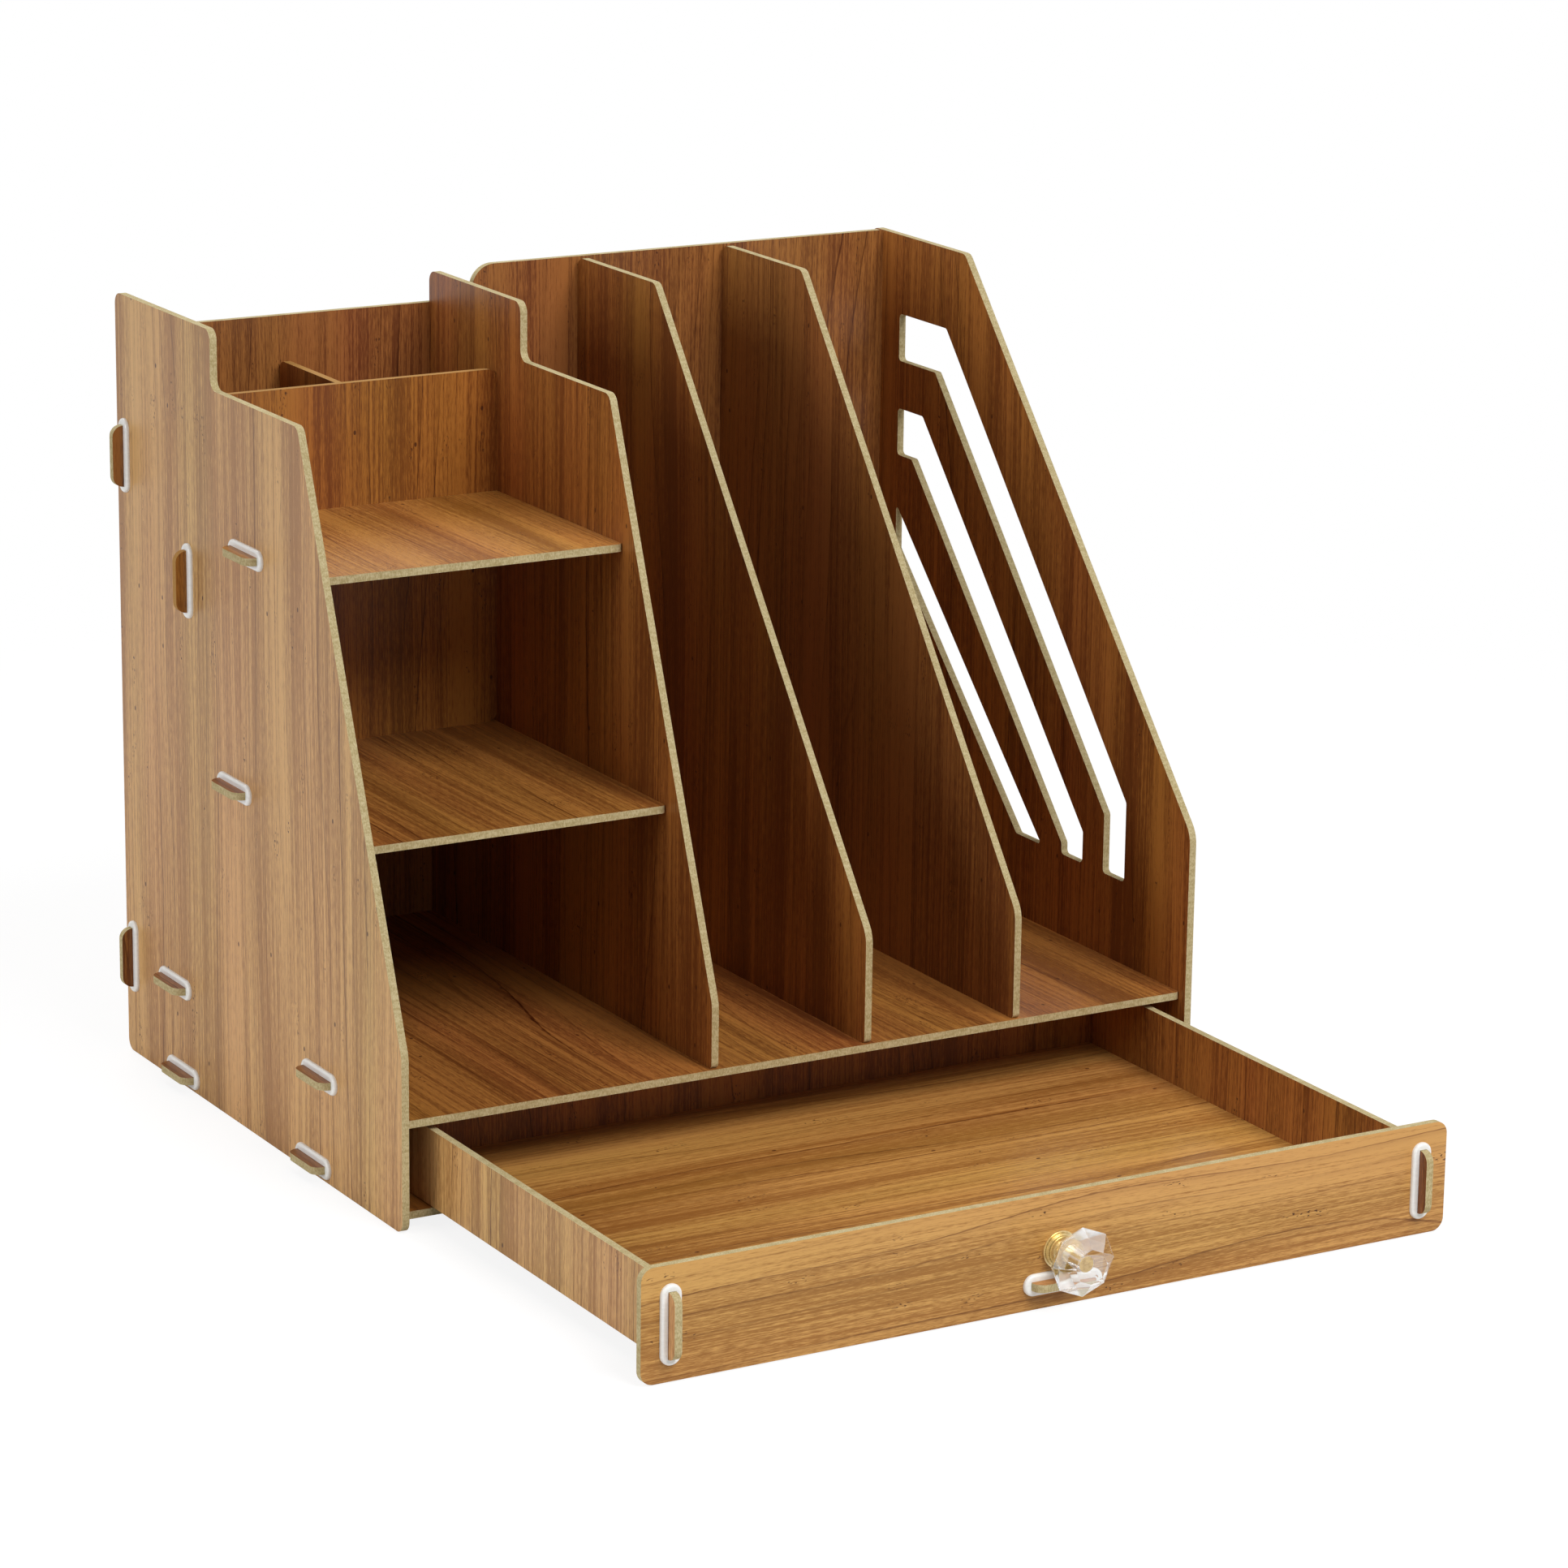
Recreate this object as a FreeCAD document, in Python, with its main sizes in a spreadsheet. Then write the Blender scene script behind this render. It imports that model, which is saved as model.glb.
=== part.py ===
"""Wooden desk organizer: flat boards joined by tabs, slots and oval clips, with one drawer.

Millimetres. While the boards are drawn, X runs right from the outer face of the left panel,
Y runs back from the front edges of the side panels and Z runs up from the table. The finished
pieces are then shifted, so that the origin lies on the table under the middle of the whole
object, with its drawer open.
"""
import FreeCAD, Part
import math
import os
import Sketcher

PARTS_FOLDER = "parts"
TOUCH = 1e-4

# Driving sizes: name, millimetres and what it measures.
SIZES = [
    ("board", 3.0, "thickness of every board"),
    ("outer_width", 350.0, "outer faces of the two side panels"),
    ("side_depth", 252.6, "front edge to rear edge of a side panel"),
    ("side_height", 312.5, "table to the highest edges"),
    ("wall_gap", 0.1, "rear tabs stay this far in front of the side panels' rear edges"),
    ("floor_gap", 4.0, "table to the underside of the bottom panel"),
    ("bay_height", 32.5, "clear height of the drawer's bay"),
    ("lower_clear", 92.3, "main shelf to second shelf"),
    ("middle_clear", 92.0, "second shelf to top shelf"),
    ("cubby_width", 130.4, "clear width of the shelf column"),
    ("file_slot", 64.75, "clear width of the first and the second file slot"),
    ("shelf_setback", 3.8, "front edge of the bottom panel and the main shelf"),
    ("upright_setback", 4.7, "front edge of the partition and the dividers"),
    ("second_shelf_front", 41.7, "front edge of the second shelf"),
    ("top_shelf_front", 77.7, "front edge of the top shelf"),
    ("upright_drop", 0.4, "partition and dividers below the side panels' highest edges"),
    ("left_knee", 68.5, "height where the left panel's front edge starts to lean"),
    ("left_shoulder", 84.8, "depth where the left panel's lean ends"),
    ("shoulder_drop", 23.1, "shoulder below the top of the left panel and of the partition"),
    ("left_step", 162.4, "depth of the left panel's step"),
    ("partition_knee", 68.2, "height where the partition's front edge starts to lean"),
    ("partition_shoulder", 89.6, "depth where the partition's lean ends"),
    ("partition_step", 163.3, "depth of the partition's step"),
    ("divider_knee", 86.3, "height where a divider's front edge starts to lean"),
    ("divider_shoulder", 177.9, "depth where a divider's lean ends"),
    ("right_knee", 108.7, "height where the right panel's front edge starts to lean"),
    ("right_shoulder", 178.0, "depth where the right panel's lean ends"),
    ("low_back_drop", 13.5, "lower part of the back panel below its highest edge"),
    ("back_step", 152.7, "distance of the back panel's step from the left"),
    ("back_round", 10.0, "corner radius of the back panel's step"),
    ("corner_round", 4.5, "corner radius of the side panels, the partition and the dividers"),
    ("knee_round", 12.0, "radius where a front edge starts to lean"),
    ("shelf_round", 2.0, "corner radius of shelves and of the dividers' front feet"),
    ("vent_floor", 77.0, "height of the lower ends of the cut-outs"),
    ("vent_rear", 228.9, "depth of the rear ends of the cut-outs"),
    ("vent_width", 15.8, "width of a cut-out along the depth"),
    ("vent_rise", 20.1, "height of a cut-out at its rear end"),
    ("vent_knee_shift", 8.7, "height between a cut-out's two lower bends"),
    ("vent_shoulder_shift", 8.2, "depth between a cut-out's two upper bends"),
    ("vent_round", 2.0, "corner radius of the cut-outs"),
    ("vent_1_front", 46.2, "depth of the first cut-out's front edge"),
    ("vent_1_knee", 110.2, "height of the first cut-out's front bend"),
    ("vent_1_shoulder", 191.4, "depth of the first cut-out's upper bend"),
    ("vent_1_drop", 33.4, "highest edge of the side panel to the first cut-out's top"),
    ("vent_2_front", 77.4, "depth of the second cut-out's front edge"),
    ("vent_2_knee", 90.3, "height of the second cut-out's front bend"),
    ("vent_2_shoulder", 208.9, "depth of the second cut-out's upper bend"),
    ("vent_2_drop", 73.9, "highest edge of the side panel to the second cut-out's top"),
    ("vent_3_front", 108.4, "depth of the third cut-out's front corner"),
    ("vent_3_width", 19.4, "width of the third cut-out's lower end"),
    ("vent_3_drop", 115.5, "highest edge of the side panel to the third cut-out's rear corner"),
    ("pen_front_depth", 184.0, "front face of the pen boxes' front board"),
    ("pen_front_drop", 30.4, "pen boxes' front board below the highest edges"),
    ("pen_divider_drop", 31.6, "board between the pen boxes below the highest edges"),
    ("pen_round", 4.0, "corner radius of the pen boxes' boards"),
    ("tab_length", 24.6, "length of a tab along its edge"),
    ("tab_reach", 6.0, "how far a tab stands out of the board that it passes"),
    ("tab_round", 4.3, "corner radius of a tab"),
    ("main_tab_front", 70.0, "depth of the main shelf's front tabs"),
    ("main_tab_rear", 203.8, "depth of the main shelf's rear tabs"),
    ("bottom_tab_front", 76.0, "depth of the bottom panel's front tabs"),
    ("bottom_tab_rear", 197.3, "depth of the bottom panel's rear tabs"),
    ("second_tab", 144.1, "depth of the second shelf's tabs"),
    ("top_tab", 130.8, "depth of the top shelf's tabs"),
    ("pen_front_tab", 209.8, "height of the pen front board's tabs"),
    ("pen_divider_tab", 225.0, "height of the pen divider's rear tab"),
    ("back_tab_low", 41.0, "height of the back panel's lower tabs"),
    ("back_tab_drop", 64.3, "highest edge to the middle of the back panel's upper tabs"),
    ("upright_tab_low", 100.0, "height of the lower rear tab of the partition and the dividers"),
    ("upright_tab_drop", 62.5, "highest edge to the middle of their upper rear tab"),
    ("foot_front", 60.0, "depth of their front foot in the main shelf"),
    ("foot_rear", 190.0, "depth of their rear foot in the main shelf"),
    ("clip_length", 30.0, "length of a clip's oval rim"),
    ("clip_width", 8.3, "width of a clip's oval rim"),
    ("clip_thick", 1.5, "height of the rim above the board"),
    ("clip_round", 1.1, "radius of the rim's outer edge"),
    ("fit_gap", 0.1, "clearance on each side of whatever sits in a slot"),
    ("drawer_open", 177.5, "how far the drawer stands out of its closed place"),
    ("drawer_close_gap", 0.3, "closed drawer front to the main shelf's front edge"),
    ("drawer_side_gap", 11.4, "side panel's inner face to the drawer's side"),
    ("drawer_front_gap", 1.35, "side panel's inner face to the drawer front's end"),
    ("drawer_float", 0.3, "drawer's clearance above the bottom panel and the table"),
    ("drawer_wall", 30.0, "height of the drawer's sides and rear board"),
    ("drawer_front_height", 43.0, "height of the drawer's front board"),
    ("drawer_inside", 220.5, "inner length of the drawer"),
    ("drawer_bottom_lift", 1.1, "underside of the drawer's bottom above its sides' lower edges"),
    ("drawer_tab_height", 21.5, "height of the tabs of the drawer's sides"),
    ("drawer_rear_tab", 14.0, "length of the plain flush tabs in the drawer's rear board"),
    ("drawer_rear_spread", 160.0, "distance between the bottom's two rear tabs"),
    ("drawer_round", 5.0, "corner radius of the drawer's front board"),
    ("knob_height", 21.7, "height of the knob's axis"),
    ("rose_radius", 7.1, "radius of the knob's rose"),
    ("rose_ring", 1.25, "height of each ring of the rose"),
    ("rose_shrink", 0.75, "how much smaller each ring is than the one below"),
    ("rose_groove", 0.4, "depth and height of the groove above each ring"),
    ("neck_radius", 3.6, "radius of the knob's neck"),
    ("cup_radius", 5.2, "radius of the collar under the crystal"),
    ("cup_height", 1.0, "height of the collar under the crystal"),
    ("post_radius", 3.0, "radius of the post inside the crystal"),
    ("post_depth", 10.0, "depth of the post in the crystal"),
    ("crystal_start", 7.2, "drawer front to the back of the crystal"),
    ("crystal_back", 5.6, "corner radius of the crystal's back"),
    ("crystal_girdle", 13.0, "corner radius of the crystal's widest band"),
    ("crystal_ring", 10.0, "corner radius between the two rows of front facets"),
    ("crystal_table", 6.6, "corner radius of the crystal's flat front"),
    ("pavilion", 7.7, "height of the crystal's back facets"),
    ("girdle_band", 1.0, "height of the crystal's widest band"),
    ("crown_low", 3.0, "height of the outer row of front facets"),
    ("crown_high", 2.6, "height of the inner row of front facets"),
    ("screw_radius", 1.9, "radius of the knob's screw"),
    ("screw_length", 9.0, "length of the screw under its head"),
    ("screw_head_radius", 3.6, "radius of the screw's head"),
    ("screw_head", 2.2, "height of the screw's head"),
    ("screw_dome", 0.8, "edge radius of the screw's head"),
    ("recess_width", 0.9, "width of the arms of the screw's cross recess"),
    ("recess_depth", 1.2, "depth of the screw's cross recess"),
    ("screw_clearance", 0.3, "clearance round the screw in the drawer front"),
]

FACETS = 8
ROSE_RINGS = 3

doc = FreeCAD.newDocument("desk_organizer")
sheet = doc.addObject("Spreadsheet::Sheet", "dims")
for row, (alias, size, note) in enumerate(SIZES, start=1):
    sheet.set(f"A{row}", alias)
    sheet.set(f"B{row}", str(size))
    sheet.setAlias(f"B{row}", alias)
    sheet.set(f"C{row}", note)
doc.recompute()

# Places that several boards share, as expressions of the sizes above.
RIGHT_INNER = "(dims.outer_width - dims.board)"
PARTITION = "(dims.board + dims.cubby_width)"
DIVIDER_1 = f"({PARTITION} + dims.board + dims.file_slot)"
DIVIDER_2 = f"({DIVIDER_1} + dims.board + dims.file_slot)"
CUBBY_MIDDLE = "(dims.board + dims.cubby_width / 2)"
MIDDLE = "(dims.outer_width / 2)"
BACK = "(dims.side_depth - dims.tab_reach - dims.wall_gap - dims.board)"
BAY_FLOOR = "(dims.floor_gap + dims.board)"
MAIN_SHELF = f"({BAY_FLOOR} + dims.bay_height)"
MAIN_TOP = f"({MAIN_SHELF} + dims.board)"
SECOND_SHELF = f"({MAIN_TOP} + dims.lower_clear)"
SECOND_TOP = f"({SECOND_SHELF} + dims.board)"
TOP_SHELF = f"({SECOND_TOP} + dims.middle_clear)"
PEN_REAR = "(dims.pen_front_depth + dims.board)"
HALF = "dims.board / 2"
TAB_OUT = "(dims.board + dims.tab_reach)"
UPRIGHT_TOP = "(dims.side_height - dims.upright_drop)"
LOW_BACK_TOP = "(dims.side_height - dims.low_back_drop)"
PEN_FRONT_TOP = "(dims.side_height - dims.pen_front_drop)"
PEN_DIVIDER_TOP = "(dims.side_height - dims.pen_divider_drop)"
BACK_TAB_HIGH = "(dims.side_height - dims.back_tab_drop)"
UPRIGHT_TAB_HIGH = "(dims.side_height - dims.upright_tab_drop)"

# The drawer is drawn in its closed place.
DRAWER_FACE = "(dims.shelf_setback - dims.drawer_close_gap - dims.board)"
DRAWER_REAR = f"({DRAWER_FACE} + dims.board + dims.drawer_inside)"
DRAWER_LEFT = "(dims.board + dims.drawer_side_gap)"
DRAWER_RIGHT = f"({RIGHT_INNER} - dims.drawer_side_gap - dims.board)"
DRAWER_BASE = f"({BAY_FLOOR} + dims.drawer_float)"
DRAWER_BOTTOM = f"({DRAWER_BASE} + dims.drawer_bottom_lift)"
BOTTOM_TAB_LEFT = f"({MIDDLE} - dims.drawer_rear_spread / 2)"
BOTTOM_TAB_RIGHT = f"({MIDDLE} + dims.drawer_rear_spread / 2)"
DRAWER_END = "(dims.board + dims.drawer_front_gap)"
DRAWER_FAR_END = f"({RIGHT_INNER} - dims.drawer_front_gap)"
KNOB_LENGTH = ("(dims.crystal_start + dims.pavilion + dims.girdle_band"
               " + dims.crown_low + dims.crown_high)")

# The shift that puts the origin under the middle of the whole object.
FRONT_END = f"({DRAWER_FACE} - dims.drawer_open - {KNOB_LENGTH})"
ORIGIN_Y = f"((dims.side_depth + {FRONT_END}) / 2)"

# The slot for a tab or a foot, which is also the opening of a clip.
SLOT_LONG = "(dims.tab_length + 2 * dims.fit_gap)"
SLOT_SHORT = "(dims.board + 2 * dims.fit_gap)"

nodes = []


def value(expression):
    """The number that an expression gives now."""
    return float(sheet.evalExpression(expression))


def new_body(label):
    """An empty body that becomes a node."""
    body = doc.addObject("PartDesign::Body", label)
    body.Label = label
    nodes.append(body)
    return body


def new_sketch(body, name, plane, lift=None):
    """A sketch on one of the body's own origin planes, lifted off it where asked."""
    sketch = body.newObject("Sketcher::SketchObject", f"{body.Name}_{name}")
    support = [entry for entry in body.Origin.OriginFeatures if entry.Role == plane][0]
    sketch.AttachmentSupport = (support, [""])
    sketch.MapMode = "FlatFace"
    if lift is not None:
        sketch.setExpression("AttachmentOffset.Base.z", lift)
    return sketch


def pin(sketch, kind, geometry, point, expression):
    """Ties one coordinate of a sketch point to an expression, measured from the origin."""
    constraint = Sketcher.Constraint(kind, -1, 1, geometry, point, value(expression))
    index = sketch.addConstraint(constraint)
    sketch.setExpression(f"Constraints[{index}]", expression)


def draw_polygon(sketch, corners):
    """A closed outline with both coordinates of each corner tied to expressions."""
    first = sketch.GeometryCount
    places = [FreeCAD.Vector(value(corner[0]), value(corner[1]), 0) for corner in corners]
    count = len(places)
    for index, place in enumerate(places):
        sketch.addGeometry(Part.LineSegment(place, places[(index + 1) % count]))
    for index in range(count):
        following = first + (index + 1) % count
        sketch.addConstraint(Sketcher.Constraint("Coincident", first + index, 2, following, 1))
    for index, corner in enumerate(corners):
        pin(sketch, "DistanceX", first + index, 1, corner[0])
        pin(sketch, "DistanceY", first + index, 1, corner[1])


def rectangle(across, up, width, height):
    """The corners of a rectangle about a middle point."""
    left = f"{across} - {width} / 2"
    right = f"{across} + {width} / 2"
    low = f"{up} - {height} / 2"
    high = f"{up} + {height} / 2"
    return [(left, low), (right, low), (right, high), (left, high)]


def draw_circle(sketch, across, up, radius):
    """A circle tied to expressions."""
    middle = FreeCAD.Vector(value(across), value(up), 0)
    circle = Part.Circle(middle, FreeCAD.Vector(0, 0, 1), value(radius))
    index = sketch.addGeometry(circle)
    pin(sketch, "DistanceX", index, 3, across)
    pin(sketch, "DistanceY", index, 3, up)
    size = sketch.addConstraint(Sketcher.Constraint("Radius", index, value(radius)))
    sketch.setExpression(f"Constraints[{size}]", radius)


def draw_oval(sketch, length, width):
    """A slot shape about the origin: two half circles joined by two straight lines."""
    radius = value(f"{width} / 2")
    reach = value(f"({length} - {width}) / 2")
    quarter = math.pi / 2
    ends = []
    for sign in (1, -1):
        circle = Part.Circle(FreeCAD.Vector(sign * reach, 0, 0), FreeCAD.Vector(0, 0, 1), radius)
        start = -quarter if sign > 0 else quarter
        ends.append(sketch.addGeometry(Part.ArcOfCircle(circle, start, start + 2 * quarter)))
    right, left = ends
    corners = [FreeCAD.Vector(reach, radius, 0), FreeCAD.Vector(-reach, radius, 0)]
    top = sketch.addGeometry(Part.LineSegment(corners[0], corners[1]))
    bottom = sketch.addGeometry(Part.LineSegment(-corners[0], -corners[1]))
    for one, one_end, other, other_end in ((right, 2, top, 1), (top, 2, left, 1),
                                           (left, 2, bottom, 1), (bottom, 2, right, 1)):
        sketch.addConstraint(Sketcher.Constraint("Tangent", one, one_end, other, other_end))
    for arc, sign in ((right, ""), (left, "-")):
        sketch.addConstraint(Sketcher.Constraint("PointOnObject", arc, 3, -1))
        pin(sketch, "DistanceX", arc, 3, f"{sign}({length} - {width}) / 2")
    index = sketch.addConstraint(Sketcher.Constraint("Radius", right, radius))
    sketch.setExpression(f"Constraints[{index}]", f"{width} / 2")


def pad(body, sketch, length, backwards=False):
    """Thickens a sketch."""
    feature = body.newObject("PartDesign::Pad", f"{sketch.Name}_pad")
    feature.Profile = sketch
    feature.setExpression("Length", length)
    feature.Reversed = backwards
    doc.recompute()
    return feature


def pocket(body, sketch, depth=None, backwards=False):
    """Cuts a sketch through the body, or to a depth, and makes sure that something was cut."""
    before = body.Tip.Shape.Volume
    feature = body.newObject("PartDesign::Pocket", f"{sketch.Name}_cut")
    feature.Profile = sketch
    feature.Reversed = backwards
    if depth is None:
        feature.Type = "ThroughAll"
        feature.Midplane = True
    else:
        feature.setExpression("Length", depth)
    doc.recompute()
    if not feature.Shape.Volume < before:
        raise RuntimeError(f"{feature.Name} cuts nothing")
    return feature


def fillet(body, edges, radius):
    """Rounds the named edges of the body's last feature."""
    base = body.Tip
    feature = body.newObject("PartDesign::Fillet", f"{body.Name}_round_{len(body.Group)}")
    feature.Base = (base, edges)
    feature.setExpression("Radius", radius)
    body.Tip = feature
    doc.recompute()
    return feature


def round_corners(body, sketch, corners):
    """Rounds a padded or cut outline at each corner that gives a radius."""
    wanted = {}
    for corner in corners:
        if len(corner) > 2:
            place = FreeCAD.Vector(value(corner[0]), value(corner[1]), 0)
            wanted.setdefault(corner[2], []).append(sketch.Placement.multVec(place))
    normal = sketch.Placement.Rotation.multVec(FreeCAD.Vector(0, 0, 1))
    for radius, places in wanted.items():
        names = []
        for index, edge in enumerate(body.Tip.Shape.Edges, start=1):
            ends = [vertex.Point for vertex in edge.Vertexes]
            if len(ends) != 2 or (ends[1] - ends[0]).cross(normal).Length > TOUCH:
                continue
            for place in places:
                if (ends[0] - place).cross(normal).Length < TOUCH:
                    names.append(f"Edge{index}")
        if len(names) != len(places):
            raise RuntimeError(f"{body.Label} has {len(names)} of {len(places)} corners to round")
        fillet(body, names, radius)


def place(item, across, deep, up, drawer=False, rotation=None):
    """Puts a finished piece in its place in the shifted frame."""
    if rotation is not None:
        item.Placement = FreeCAD.Placement(FreeCAD.Vector(), rotation)
    opened = " - dims.drawer_open" if drawer else ""
    item.setExpression(".Placement.Base.x", f"{across} - dims.outer_width / 2")
    item.setExpression(".Placement.Base.y", f"{deep} - {ORIGIN_Y}{opened}")
    item.setExpression(".Placement.Base.z", up)


def tab(edge, middle, outward, travel, upright=True, reach=TAB_OUT, radius="dims.tab_round",
        length="dims.tab_length"):
    """The four corners of a tab on an edge, in the order in which the outline runs."""
    before = "-" if travel == "+" else "+"
    near = f"{edge}"
    far = f"{edge} {outward} {reach}"
    first = f"{middle} {before} {length} / 2"
    last = f"{middle} {travel} {length} / 2"
    tip = () if radius is None else (radius,)
    corners = [(near, first), (far, first) + tip, (far, last) + tip, (near, last)]
    if upright:
        return corners
    return [(corner[1], corner[0]) + corner[2:] for corner in corners]


def foot(middle):
    """A flush foot on a lower edge that runs towards the rear."""
    return tab(MAIN_TOP, middle, "-", "+", upright=False, reach="dims.board", radius=None)


def rear_tab(middle, travel, upright):
    """A plain flush tab on the rear edge of a drawer's side or bottom."""
    return tab(DRAWER_REAR, middle, "+", travel, upright=upright, reach="dims.board",
               radius=None, length="dims.drawer_rear_tab")


def tall_slot(across, up):
    """A slot for an upright tab."""
    return rectangle(across, up, SLOT_SHORT, SLOT_LONG)


def flat_slot(across, up):
    """A slot for a level tab."""
    return rectangle(across, up, SLOT_LONG, SLOT_SHORT)


def board(label, plane, outline, slots=(), cutouts=()):
    """A flat board: its outline is padded, rounded and cut through."""
    body = new_body(label)
    sketch = new_sketch(body, "outline", plane)
    draw_polygon(sketch, outline)
    pad(body, sketch, "dims.board", backwards=(plane == "XZ_Plane"))
    round_corners(body, sketch, outline)
    if slots:
        slot_sketch = new_sketch(body, "slots", plane)
        for slot in slots:
            draw_polygon(slot_sketch, slot)
        pocket(body, slot_sketch)
    for number, cutout in enumerate(cutouts, start=1):
        vent_sketch = new_sketch(body, f"vent_{number}", plane)
        draw_polygon(vent_sketch, cutout)
        pocket(body, vent_sketch)
        round_corners(body, vent_sketch, cutout)
    return body


# Side panels, seen from the left: across is the depth and up is the height.
R = "dims.corner_round"
SIDE_SLOTS = [
    flat_slot("dims.main_tab_front", f"({MAIN_SHELF} + {HALF})"),
    flat_slot("dims.main_tab_rear", f"({MAIN_SHELF} + {HALF})"),
    flat_slot("dims.bottom_tab_front", f"(dims.floor_gap + {HALF})"),
    flat_slot("dims.bottom_tab_rear", f"(dims.floor_gap + {HALF})"),
    tall_slot(f"({BACK} + {HALF})", "dims.back_tab_low"),
    tall_slot(f"({BACK} + {HALF})", BACK_TAB_HIGH),
]
COLUMN_SLOTS = [
    flat_slot("dims.second_tab", f"({SECOND_SHELF} + {HALF})"),
    flat_slot("dims.top_tab", f"({TOP_SHELF} + {HALF})"),
    tall_slot(f"(dims.pen_front_depth + {HALF})", "dims.pen_front_tab"),
]


def make_left_panel():
    """The stepped left side, with a slot for every tab of the boards behind it."""
    shoulder = "(dims.side_height - dims.shoulder_drop)"
    outline = [
        ("0", "0", R),
        ("dims.side_depth", "0", R),
        ("dims.side_depth", "dims.side_height", R),
        ("dims.left_step", "dims.side_height", R),
        ("dims.left_step", shoulder, R),
        ("dims.left_shoulder", shoulder, R),
        ("0", "dims.left_knee", "dims.knee_round"),
    ]
    body = board("left_panel", "YZ_Plane", outline, SIDE_SLOTS + COLUMN_SLOTS)
    place(body, "0", "0", "0")


def vent(number):
    """One of the two bent cut-outs of the right panel, from its front corner round."""
    radius = "dims.vent_round"
    front, knee, shoulder = (f"dims.vent_{number}_{key}" for key in ("front", "knee", "shoulder"))
    top = f"(dims.side_height - dims.vent_{number}_drop)"
    return [
        (front, "dims.vent_floor", radius),
        (f"{front} + dims.vent_width", "dims.vent_floor", radius),
        (f"{front} + dims.vent_width", f"{knee} - dims.vent_knee_shift", radius),
        (f"{shoulder} + dims.vent_shoulder_shift", f"{top} - dims.vent_rise", radius),
        ("dims.vent_rear", f"{top} - dims.vent_rise", radius),
        ("dims.vent_rear", top, radius),
        (shoulder, top, radius),
        (front, knee, radius),
    ]


def low_vent():
    """The third cut-out, a leaning band that ends against the upright rear line."""
    radius = "dims.vent_round / 2"
    top = "(dims.side_height - dims.vent_3_drop)"
    rise = f"({top} - dims.vent_floor) / (dims.vent_rear - dims.vent_3_front)"
    low_top = f"{top} - dims.vent_3_width * {rise}"
    return [
        ("dims.vent_3_front", "dims.vent_floor", radius),
        ("dims.vent_3_front + dims.vent_3_width", "dims.vent_floor", "dims.vent_round"),
        ("dims.vent_rear", low_top, radius),
        ("dims.vent_rear", top, radius),
    ]


def make_right_panel():
    """The leaning right side with its three slanted cut-outs."""
    outline = [
        ("0", "0", R),
        ("dims.side_depth", "0", R),
        ("dims.side_depth", "dims.side_height", R),
        ("dims.right_shoulder", "dims.side_height", R),
        ("0", "dims.right_knee", "dims.knee_round"),
    ]
    cutouts = [vent(1), vent(2), low_vent()]
    body = board("right_panel", "YZ_Plane", outline, SIDE_SLOTS, cutouts)
    place(body, RIGHT_INNER, "0", "0")


def make_middle_partition():
    """The stepped board between the shelf column and the file slots."""
    shoulder = f"({UPRIGHT_TOP} - dims.shoulder_drop)"
    outline = [
        ("dims.upright_setback", MAIN_TOP, "dims.shelf_round"),
        *foot("dims.foot_front"),
        *foot("dims.foot_rear"),
        (BACK, MAIN_TOP),
        *tab(BACK, "dims.upright_tab_low", "+", "+"),
        *tab(BACK, UPRIGHT_TAB_HIGH, "+", "+"),
        (BACK, UPRIGHT_TOP, R),
        ("dims.partition_step", UPRIGHT_TOP, R),
        ("dims.partition_step", shoulder, R),
        ("dims.partition_shoulder", shoulder, R),
        ("dims.upright_setback", "dims.partition_knee", "dims.knee_round"),
    ]
    body = board("middle_partition", "YZ_Plane", outline, COLUMN_SLOTS)
    place(body, PARTITION, "0", "0")


def make_dividers():
    """The two leaning boards between the file slots."""
    outline = [
        ("dims.upright_setback", MAIN_TOP, "dims.shelf_round"),
        *foot("dims.foot_front"),
        *foot("dims.foot_rear"),
        (BACK, MAIN_TOP),
        *tab(BACK, "dims.upright_tab_low", "+", "+"),
        *tab(BACK, UPRIGHT_TAB_HIGH, "+", "+"),
        (BACK, UPRIGHT_TOP, R),
        ("dims.divider_shoulder", UPRIGHT_TOP, R),
        ("dims.upright_setback", "dims.divider_knee", "dims.knee_round"),
    ]
    for label, across in (("file_divider_left", DIVIDER_1), ("file_divider_right", DIVIDER_2)):
        place(board(label, "YZ_Plane", outline), across, "0", "0")


def make_back_panel():
    """The full-width back, lower behind the pen boxes, with slots for the boards' rear tabs."""
    outline = [
        ("dims.board", "0"),
        (RIGHT_INNER, "0"),
        *tab(RIGHT_INNER, "dims.back_tab_low", "+", "+"),
        *tab(RIGHT_INNER, BACK_TAB_HIGH, "+", "+"),
        (RIGHT_INNER, "dims.side_height", "dims.shelf_round"),
        ("dims.back_step", "dims.side_height", "dims.back_round"),
        ("dims.back_step", LOW_BACK_TOP, "dims.shelf_round"),
        ("dims.board", LOW_BACK_TOP, "dims.shelf_round"),
        *tab("dims.board", BACK_TAB_HIGH, "-", "-"),
        *tab("dims.board", "dims.back_tab_low", "-", "-"),
    ]
    slots = [
        tall_slot(f"({across} + {HALF})", height)
        for across in (PARTITION, DIVIDER_1, DIVIDER_2)
        for height in ("dims.upright_tab_low", UPRIGHT_TAB_HIGH)
    ]
    slots.append(flat_slot(CUBBY_MIDDLE, f"({SECOND_SHELF} + {HALF})"))
    slots.append(tall_slot(CUBBY_MIDDLE, "dims.pen_divider_tab"))
    body = board("back_panel", "XZ_Plane", outline, slots)
    place(body, "0", BACK, "0")


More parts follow.
